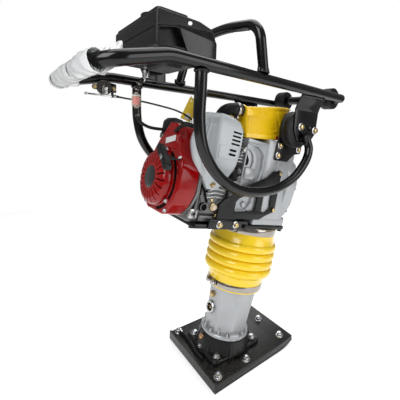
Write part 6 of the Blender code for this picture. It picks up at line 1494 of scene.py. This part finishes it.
def make_film():
    """Creased film round the rear bar, with two ties."""
    route = rounded([(-0.44, -0.191, 0.8851), (BAR_X, -0.191, BAR_Z), (BAR_X, 0.191, BAR_Z),
                     (-0.45, 0.19, 0.882)], [0, 0.05, 0.05, 0], 14, closed=False)
    route = [point for point in route if point.y > 0 or point.x < -0.4905]
    spaced = []
    for first, second in zip(route, route[1:]):
        steps = max(1, round((second - first).length / 0.006))
        spaced += [first.lerp(second, index / steps) for index in range(steps)]
    spaced.append(route[-1])
    sides = 56
    rings = []
    for index, point in enumerate(spaced):
        ahead = (spaced[min(index + 1, len(spaced) - 1)] - spaced[max(index - 1, 0)]).normalized()
        up = (Vector((0, 0, 1)) - ahead * ahead.z).normalized()
        across = ahead.cross(up)
        tie = min(abs(point.y - y) for y in (-0.162, -0.052, 0.15))
        loose = 0.0026 * min(1.0, (tie / 0.03) ** 0.7)
        ring = []
        for turn in range(sides):
            angle = 2 * math.pi * turn / sides
            fold = (math.sin(angle * 5 + index * 0.23) * 0.5 + math.sin(angle * 2 - index * 0.41) * 0.6
                    + abs(math.sin(angle * 7 + index * 0.47)) * 0.5)
            radius = 0.0188 + loose * (0.55 + 0.45 * fold) + 0.0005 * math.sin(index * 0.8 + angle * 3)
            outward = up * math.sin(angle) + across * math.cos(angle)
            ring.append(tuple(point + outward * max(0.0184, radius)))
        rings.append(ring)
    bm = bmesh.new()
    add(bm, skin(rings, closed_ends=False))
    for y, lean in ((-0.052, 0.45), (0.15, -0.2)):
        ring = along((-0.4945, y, 0.8682), (0, 1, lean))
        add(bm, collar(0.019, 0.0205, 0.0022, -0.0022, 40), ring, 1)
        add(bm, block((-0.0045, 0.018, -0.003), (0.0045, 0.0245, 0.003), 0.001), ring, 1)
    film = piece("grip_film", bm, "upper", ["film", "plastic_black"], sharp=80)
    thick = film.modifiers.new("film_gauge", "SOLIDIFY")
    thick.thickness = FILM_THICK
    thick.offset = 1.0


def make_folds():
    """Two loose creased folds of film at the right end of the sleeve."""
    bm = bmesh.new()
    for low, high, lean in ((((-0.496, 0.879), (-0.444, 0.893)), ((-0.496, 0.885), (-0.444, 0.915)), 0.014),
                            (((-0.49, 0.848), (-0.478, 0.847)), ((-0.499, 0.862), (-0.46, 0.865)), 0.004)):
        sheet = []
        for index in range(25):
            share = index / 24
            foot = Vector(low[0]).lerp(Vector(low[1]), share)
            brow = Vector(high[0]).lerp(Vector(high[1]), share)
            line = []
            for step in range(13):
                rise = step / 12
                spot = foot.lerp(brow, rise)
                crease = 0.0022 * math.sin(share * 13 + rise * 5) + 0.0012 * math.sin(share * 31 - rise * 9)
                line.append(bm.verts.new((spot.x, -0.17 + lean * rise + crease,
                                          spot.y + 0.0008 * math.sin(share * 23) * rise)))
            sheet.append(line)
        for first, second in zip(sheet, sheet[1:]):
            for step in range(12):
                bm.faces.new((first[step], first[step + 1], second[step + 1], second[step]))
    flap = piece("film_flap", bm, "upper", ["film_fold"], sharp=80)
    thick = flap.modifiers.new("film_gauge", "SOLIDIFY")
    thick.thickness = FILM_THICK


# Tank, throttle and trim

CAP_X = -0.328
CAP_Y = -0.02
CAP_Z = 1.008
TAP_X = -0.299
TAP_Y = 0.085
TAP_Z = 0.906
OUTLET_X = -0.311
OUTLET_Z = 0.889
FILTER_X = -0.318
FILTER_Y = 0.105


def make_tank():
    """Moulded tank with its ledges, recesses, lashing holes, top panel and belly."""
    outline = rounded([(-0.367, 0.93), (-0.367, 1.006), (-0.264, 1.0045), (-0.227, 0.995), (-0.2165, 0.97),
                       (-0.2165, 0.93)], [0.009, 0.01, 0.03, 0.016, 0.01, 0.009], 6)
    shape = side_plate([outline], -0.13, 0.13, bevel=0.006)
    recess = rounded([(-0.3605, 0.938), (-0.3605, 0.967), (-0.321, 0.9765), (-0.279, 0.938)],
                     [0.004, 0.003, 0.003, 0.003], 4)
    cutters = [side_plate([recess], -0.14, -0.113, bevel=0), side_plate([recess], 0.113, 0.14, bevel=0)]
    for side in (-1, 1):
        start = Vector((-0.301, side * 0.15, 0.983))
        cutters.append(rod(start, start + Vector((0.04, -side * 0.07, 0.03)), 0.0048, sides=24))
    cutters.append(rod((-0.232, 0.0, 1.0), (-0.232, 0.0, 0.92), 0.009, sides=32))
    cutters.append(block((-0.3685, -0.118, 0.9675), (-0.3655, 0.118, 0.97), 0))
    shape = carve(shape, *cutters)
    bm = bmesh.new()
    add(bm, shape)
    top = rounded(rectangle((-0.3635, -0.1265), (-0.29, 0.1265)), 0.01, 5)
    add(bm, plate([top], 1.004, 1.0082, 0.0015))
    for side in (-1, 1):
        ledge = rounded([(-0.364, 0.969), (-0.32, 0.9795), (-0.23, 0.986), (-0.23, 0.9895), (-0.32, 0.9835),
                         (-0.364, 0.973)], 0.0015, 3)
        add(bm, side_plate([ledge], side * 0.124, side * 0.1328, bevel=0.0015))
    belly = [(-0.312, 0.911), (-0.312, 0.94), (-0.26, 0.94), (-0.26, 0.911)]
    add(bm, side_plate([rounded(belly, [0.012, 0, 0, 0.012], 5)], -0.055, 0.055, bevel=0.006))
    add(bm, side_plate([rounded([(-0.355, 0.924), (-0.355, 0.94), (-0.218, 0.94), (-0.218, 0.924)], 0.003)],
                       -0.118, 0.118, bevel=0.004))
    add(bm, lathe([(0, 1.0086), (0.029, 1.0086), (0.0305, 1.007), (0.0305, 1.002)], 48),
        Matrix.Translation((CAP_X, CAP_Y, 0)))
    piece("tank_shell", bm, "upper", ["tank_black"], ["fuel_tank"], sharp=40)


def make_cap():
    """Ribbed fuel cap."""
    bm = bmesh.new()
    cap = Matrix.Translation((CAP_X, CAP_Y, CAP_Z))
    add(bm, lathe([(0, 0.017), (0.02, 0.017), (0.024, 0.0158), (0.0255, 0.013), (0.0258, 0.004),
                   (0.0258, 0.0003), (0, 0.0003)], 72), cap)
    for index in range(16):
        turn = spun(cap, 2 * math.pi * index / 16)
        add(bm, rod((0.0255, 0, 0.001), (0.025, 0, 0.0145), 0.0019, sides=12, bevel=0.0005), turn)
    piece("cap_shell", bm, "fuel_cap", ["plastic_black"], ["fuel_cap"])


def make_tap():
    """Fuel tap with its nut, outlet and lever."""
    bm = bmesh.new()
    tap = Matrix.Translation((TAP_X, TAP_Y, 0))
    add(bm, lathe([(0, 0.9297), (0.0105, 0.9297), (0.0105, 0.9255), (0.007, 0.9245), (0.007, 0.918),
                   (0.0092, 0.917), (0.0092, 0.9075), (0.008, 0.8985), (0.005, 0.8975), (0, 0.8975)], 32),
        tap)
    add(bm, rod((TAP_X, TAP_Y, 0.9265), (TAP_X, TAP_Y, 0.9215), 0.0102, sides=6, bevel=0.0008))
    add(bm, rod((TAP_X, TAP_Y, TAP_Z), (OUTLET_X, TAP_Y, OUTLET_Z), 0.004, 0.0036, 20, 0.0005))
    add(bm, rod((TAP_X, 0.08, TAP_Z), (TAP_X, 0.0918, TAP_Z), 0.0068, sides=24, bevel=0.0008))
    piece("tap_body", bm, "upper", ["zinc"], ["fuel_tap"])
    bm = bmesh.new()
    lever_y = TAP_Y + 0.008 * math.cos(math.pi / 12) + GAP
    add(bm, rod((TAP_X, lever_y, TAP_Z), (TAP_X, lever_y + 0.006, TAP_Z), 0.0062, sides=28, bevel=0.001))
    arm = rounded([(-0.303, 0.908), (-0.295, 0.908), (-0.2962, 0.89), (-0.3005, 0.887), (-0.303, 0.89)],
                  0.0018, 3)
    add(bm, side_plate([arm], lever_y + 0.0018, lever_y + 0.0048, bevel=0.0008))
    piece("tap_arm", bm, "fuel_tap_lever", ["zinc"], ["fuel_tap_lever"])


def make_fuel_line():
    """Clear fuel filter with its core, and the two hoses with their clamps."""
    spot = Matrix.Translation((FILTER_X, FILTER_Y, 0))
    bm = bmesh.new()
    add(bm, lathe([(0.0042, 0.857), (0.005, 0.8565), (0.0056, 0.8535), (0.0125, 0.85), (0.0135, 0.8475),
                   (0.0135, 0.8385), (0.0128, 0.838), (0.0128, 0.8365), (0.0135, 0.836), (0.0135, 0.8225),
                   (0.0125, 0.8195), (0.0056, 0.8165), (0.005, 0.8135), (0.0042, 0.813)], 48), spot)
    piece("filter_bowl", bm, "upper", ["clear_plastic"], ["fuel_filter"])
    bm = bmesh.new()
    profile = [(0, 0.845)]
    for index in range(14):
        profile.append((0.0098 if index % 2 else 0.0084, 0.8445 - 0.0016 * index))
    profile.append((0, 0.8225))
    add(bm, lathe(profile, 36), spot)
    add(bm, lathe([(0, 0.8487), (0.0112, 0.8487), (0.0112, 0.8462), (0, 0.8462)], 36), spot, 1)
    piece("filter_core", bm, "upper", ["filter_red", "label_white"])

    tap_point = Vector((TAP_X, TAP_Y, TAP_Z))
    outlet = Vector((OUTLET_X, TAP_Y, OUTLET_Z))
    away = (outlet - tap_point).normalized()
    upper = flowing([outlet - away * 0.006, outlet + away * 0.006, (FILTER_X, FILTER_Y, 0.864),
                     (FILTER_X, FILTER_Y, 0.8565)], 0.003)
    hose_end = T(-0.2958, 0.068, 0.712)
    back = leg_way(-1, 0, 0)
    lower = flowing([(FILTER_X, FILTER_Y, 0.8135), (FILTER_X, FILTER_Y, 0.8), (-0.31, 0.101, 0.779),
                     (-0.293, 0.095, 0.766), (-0.27, 0.085, 0.76), hose_end + back * 0.016, hose_end],
                    0.004)
    for name, route, node in (("upper_pipe", upper, "fuel_hose_upper"),
                              ("lower_pipe", lower, "fuel_hose_lower")):
        bm = bmesh.new()
        add(bm, sweep(route, 0.0046, 20))
        for index in (3, len(route) - 4):
            direction = route[index + 1] - route[index - 1]
            for offset in (-0.0015, 0.0, 0.0015):
                ring = along(route[index] + direction.normalized() * offset, direction)
                add(bm, collar(0.0046, 0.0058, 0.0006, -0.0006, 24), ring, 1)
            ring = along(route[index], direction)
            for lean in (-0.35, 0.35):
                add(bm, rod((0.0045, 0, 0), (0.011, 0.006 * lean, 0), 0.0009, sides=10), ring, 1)
        piece(name, bm, "upper", ["rubber_black", "clamp_steel"], [node], sharp=50)


def make_throttle():
    """Throttle drum with its strap round the left tube, its steel lever, adjuster and cable."""
    x, y, z = -0.386, 0.166, 0.864
    bm = bmesh.new()
    drum = along((x, y, z), (0, 1, 0))
    add(bm, lathe([(0, 0.006), (0.015, 0.006), (0.0185, 0.0048), (0.02, 0.0022), (0.02, -0.004),
                   (0.0185, -0.006), (0, -0.006)], 56), drum)
    add(bm, lathe([(0.0118, 0.0068), (0.014, 0.0068), (0.0146, 0.0055), (0.0112, 0.0055)], 48, closed=True),
        drum)
    ears = rounded(rectangle((x - 0.03, z - 0.007), (x + 0.032, z + 0.007)), 0.005, 4)
    add(bm, side_plate([ears], y, 0.171, bevel=0.001))
    bend = handle_level(BEND_X, 1)
    slope = (bend - BAR_Z) / (BEND_X - BAR_X)
    strap_top = bend - (BEND_X - x) * slope - TUBE_RADIUS * 0.8
    strap = rounded([(x - 0.012, z - 0.01), (x + 0.034, z - 0.01), (x + 0.034, z + 0.014),
                     (x + 0.01, strap_top), (x - 0.014, strap_top)], 0.002, 3)
    add(bm, side_plate([strap], 0.168, 0.173, bevel=0.001), slot=1)
    ring = along((x - 0.002, handle_side(x), strap_top + TUBE_RADIUS * 0.8), (1, 0, slope))
    add(bm, collar(TUBE_RADIUS + 0.0002, TUBE_RADIUS + 0.0022, 0.009, -0.009, 48), ring, 1)
    add(bm, block((x + 0.019, 0.1612, 0.8392), (x + 0.0248, 0.1708, z), 0.0015))
    add(bm, rod((x + 0.0235, y, 0.844), (x + 0.0335, y, 0.8438), 0.0042, sides=20, bevel=0.0006), slot=2)
    add(bm, rod((x + 0.0285, y, 0.844), (x + 0.0315, y, 0.8438), 0.0058, sides=6, bevel=0.0006), slot=2)
    for dx in (-0.024, 0.026):
        bolt(bm, (x + dx, 0.171, z), (0, 1, 0), 0.005, 0.0042, 3, 3, 1.3, turn=dx * 60)
        bolt(bm, (x + dx, y, z), (0, -1, 0), 0.0046, 0.0038, 3, 3, 1.3, turn=dx * 30)
    piece("throttle_drum", bm, "upper", ["throttle_grey", "plate_black", "zinc", "gold_zinc"],
          ["throttle_housing"])

    bm = bmesh.new()
    face = 0.16 - GAP
    inner = face - 0.004
    add(bm, rod((x, inner, z), (x, face, z), 0.0078, sides=40, bevel=0.0008))
    add(bm, rod((x, inner - 0.0025, z), (x, inner + 0.001, z), 0.0055, sides=6, bevel=0.0008))
    outline = rounded([(x - 0.0075, z + 0.002), (x - 0.0068, 0.845), (-0.435, 0.845), (-0.4362, 0.8425),
                       (-0.435, 0.84), (x + 0.018, 0.84), (x + 0.018, 0.845), (x + 0.0068, 0.845),
                       (x + 0.0075, z + 0.002)], 0.0014, 3)
    add(bm, side_plate([outline], inner + 0.0006, face - 0.0006, bevel=0.0006))
    add(bm, lathe(mirrored([(0, 0.003), (0.0034, 0.003), (0.004, 0.0015)]), 24),
        along((-0.434, inner + 0.002, 0.8425), (0, 1, 0)))
    piece("throttle_arm", bm, "throttle_lever", ["bright_steel"], ["throttle_lever"])

    bm = bmesh.new()
    end = T(-0.262, 0.062, 0.742 + GAP)
    up = leg_way(0, 0, 1)
    route = flowing([(x + 0.0345, y, 0.844), (-0.325, y, 0.842), (-0.3, 0.14, 0.838), (-0.249, 0.1, 0.827),
                     (-0.205, 0.072, 0.815), end + up * 0.016, end], 0.004)
    add(bm, sweep(route, 0.0026, 18))
    add(bm, sweep([route[0], route[1].lerp(route[0], 0.8)], 0.0036, 18))
    add(bm, sweep([end + up * 0.012, end - up * 0.001], 0.004, 18), slot=1)
    piece("throttle_wire", bm, "upper", ["rubber_black", "zinc"], ["throttle_cable"], sharp=50)


def make_trim():
    """Blank hang tag with its loop, and the bare stickers on the shroud."""
    bm = bmesh.new()
    outline = rounded([(-0.2003, 0.796), (-0.168, 0.862), (-0.132, 0.85), (-0.164, 0.784)], 0.003, 3)
    hole = circle((-0.1635, 0.85), 0.0022, 16)
    add(bm, side_plate([outline, hole], 0.0656, 0.0664, bevel=0.0001))
    patch = [(-0.186, 0.796), (-0.172, 0.792), (-0.164, 0.808), (-0.178, 0.813)]
    for side in (0.0653, 0.0665):
        add(bm, side_plate([patch], side, side + 0.0002, bevel=0.00002), slot=1)
    loop = [(-0.1635, 0.0645, 0.85), (-0.1635, 0.062, 0.8575), (-0.164, 0.0655, 0.864),
            (-0.1635, 0.069, 0.8575), (-0.1635, 0.067, 0.85)]
    add(bm, sweep(flowing(loop, 0.002), 0.0007, 10), slot=1)
    piece("hang_tag", bm, "upper", ["tag_yellow", "label_white"])

    bm = bmesh.new()
    for y, w, wide, high, turn in ((-0.035, 0.679, 0.052, 0.015, -0.22),
                                   (-0.101, 0.638, 0.015, 0.006, -0.2)):
        place = LEG @ Matrix.Translation((-0.362, y, w)) @ Matrix.Rotation(turn, 4, "X")
        outline = rounded(rectangle((-wide / 2, -high / 2), (wide / 2, high / 2)), 0.0015, 3)
        add(bm, rear_plate([outline], -0.0049, -0.0044, place, 0.0001))
    piece("bare_stickers", bm, "upper", ["label_white"])


# Pieces, and the inner nodes that keep their own shape

HIDDEN = (("guide_cylinder", "cast_bright"), ("guide_bush", "copper_zinc"),
          ("spring_lower", "bright_steel"), ("spring_upper", "bright_steel"),
          ("piston_rod", "bright_steel"), ("wrist_pin", "zinc"), ("connecting_rod", "cast_bright"),
          ("crank_gear", "bright_steel"), ("pinion_shaft", "bright_steel"), ("engine_shaft", "cast_dull"),
          ("starter_pulley", "plastic_black"))

for make in (make_shoe, make_foot_casting, make_leg, make_bellows, make_base, make_crankcase, make_lid,
             make_deck, make_block, make_shroud, make_starter, make_guard, make_engine_front, make_air_side,
             make_air_filter, make_elbow, make_mounts, make_handle, make_rollers, make_arch, make_hoops,
             make_grip, make_film, make_folds, make_tank, make_cap, make_tap, make_fuel_line, make_throttle,
             make_trim):
    make()
for node, material in HIDDEN:
    paint(node, material)


# Camera, light and floor

def make_camera():
    """A camera at the photograph's viewing angle."""
    azimuth, elevation, roll = (math.radians(value) for value in (40.8785, -8.5892, 3.6136))
    forward = Vector((math.sin(azimuth) * math.cos(elevation), math.cos(azimuth) * math.cos(elevation),
                      math.sin(elevation)))
    right = forward.cross(Vector((0, 0, 1))).normalized()
    up = right.cross(forward)
    tilted_right = math.cos(roll) * right + math.sin(roll) * up
    tilted_up = -math.sin(roll) * right + math.cos(roll) * up
    data = bpy.data.cameras.new("camera")
    data.sensor_width = 36.0
    data.lens = 25.78
    data.shift_x = -0.0996
    data.shift_y = -0.0615
    data.clip_start = 0.01
    camera = bpy.data.objects.new("camera", data)
    bpy.context.scene.collection.objects.link(camera)
    matrix = Matrix((tilted_right, tilted_up, -forward)).transposed().to_4x4()
    matrix.translation = (-0.6284, -0.7182, 0.7651)
    camera.matrix_world = matrix
    bpy.context.scene.camera = camera


def area_light(name, place, target, size, power, size_y=None):
    """A soft box that shines on a target."""
    data = bpy.data.lights.new(name, "AREA")
    data.shape = "RECTANGLE"
    data.size = size
    data.size_y = size_y or size
    data.energy = power
    light = bpy.data.objects.new(name, data)
    bpy.context.scene.collection.objects.link(light)
    place = Vector(place)
    turn = (Vector(target) - place).to_track_quat("-Z", "Y")
    light.matrix_world = Matrix.Translation(place) @ turn.to_matrix().to_4x4()


LIT_STRENGTH = 0.24
SEEN_STRENGTH = 1.0


def make_studio():
    """Pale floor, white surroundings and soft boxes."""
    floor = bmesh.new()
    bmesh.ops.create_grid(floor, x_segments=1, y_segments=1, size=2.2)
    finish("floor_pale", (0.9, 0.9, 0.9), 0.75, mottle=0.004, grain=0.0, emission=0.47)
    stage = piece("floor", floor, None, ["floor_pale"], matrix=Matrix.Translation((0, 0, -0.0005)))
    bpy.context.scene.view_settings.view_transform = "Standard"
    world = bpy.data.worlds.new("studio")
    bpy.context.scene.world = world
    world.use_nodes = True
    nodes = world.node_tree.nodes
    links = world.node_tree.links
    nodes.clear()
    output = nodes.new("ShaderNodeOutputWorld")
    path = nodes.new("ShaderNodeLightPath")
    choose = nodes.new("ShaderNodeMixShader")
    links.new(path.outputs["Is Camera Ray"], choose.inputs["Fac"])
    for slot, strength in ((1, LIT_STRENGTH), (2, SEEN_STRENGTH)):
        white = nodes.new("ShaderNodeBackground")
        white.inputs["Color"].default_value = (1.0, 1.0, 1.0, 1.0)
        white.inputs["Strength"].default_value = strength
        links.new(white.outputs["Background"], choose.inputs[slot])
    links.new(choose.outputs["Shader"], output.inputs["Surface"])
    middle = (-0.05, 0.0, 0.55)
    area_light("key", (-1.9, -0.9, 1.9), middle, 1.2, 34.0, 1.6)
    area_light("fill", (0.9, -2.3, 1.1), middle, 1.4, 22.0, 1.8)
    area_light("top", (0.1, 0.2, 2.8), middle, 2.2, 30.0)
    area_light("rim", (1.6, 1.7, 1.5), middle, 1.2, 16.0, 1.6)


make_camera()
make_studio()
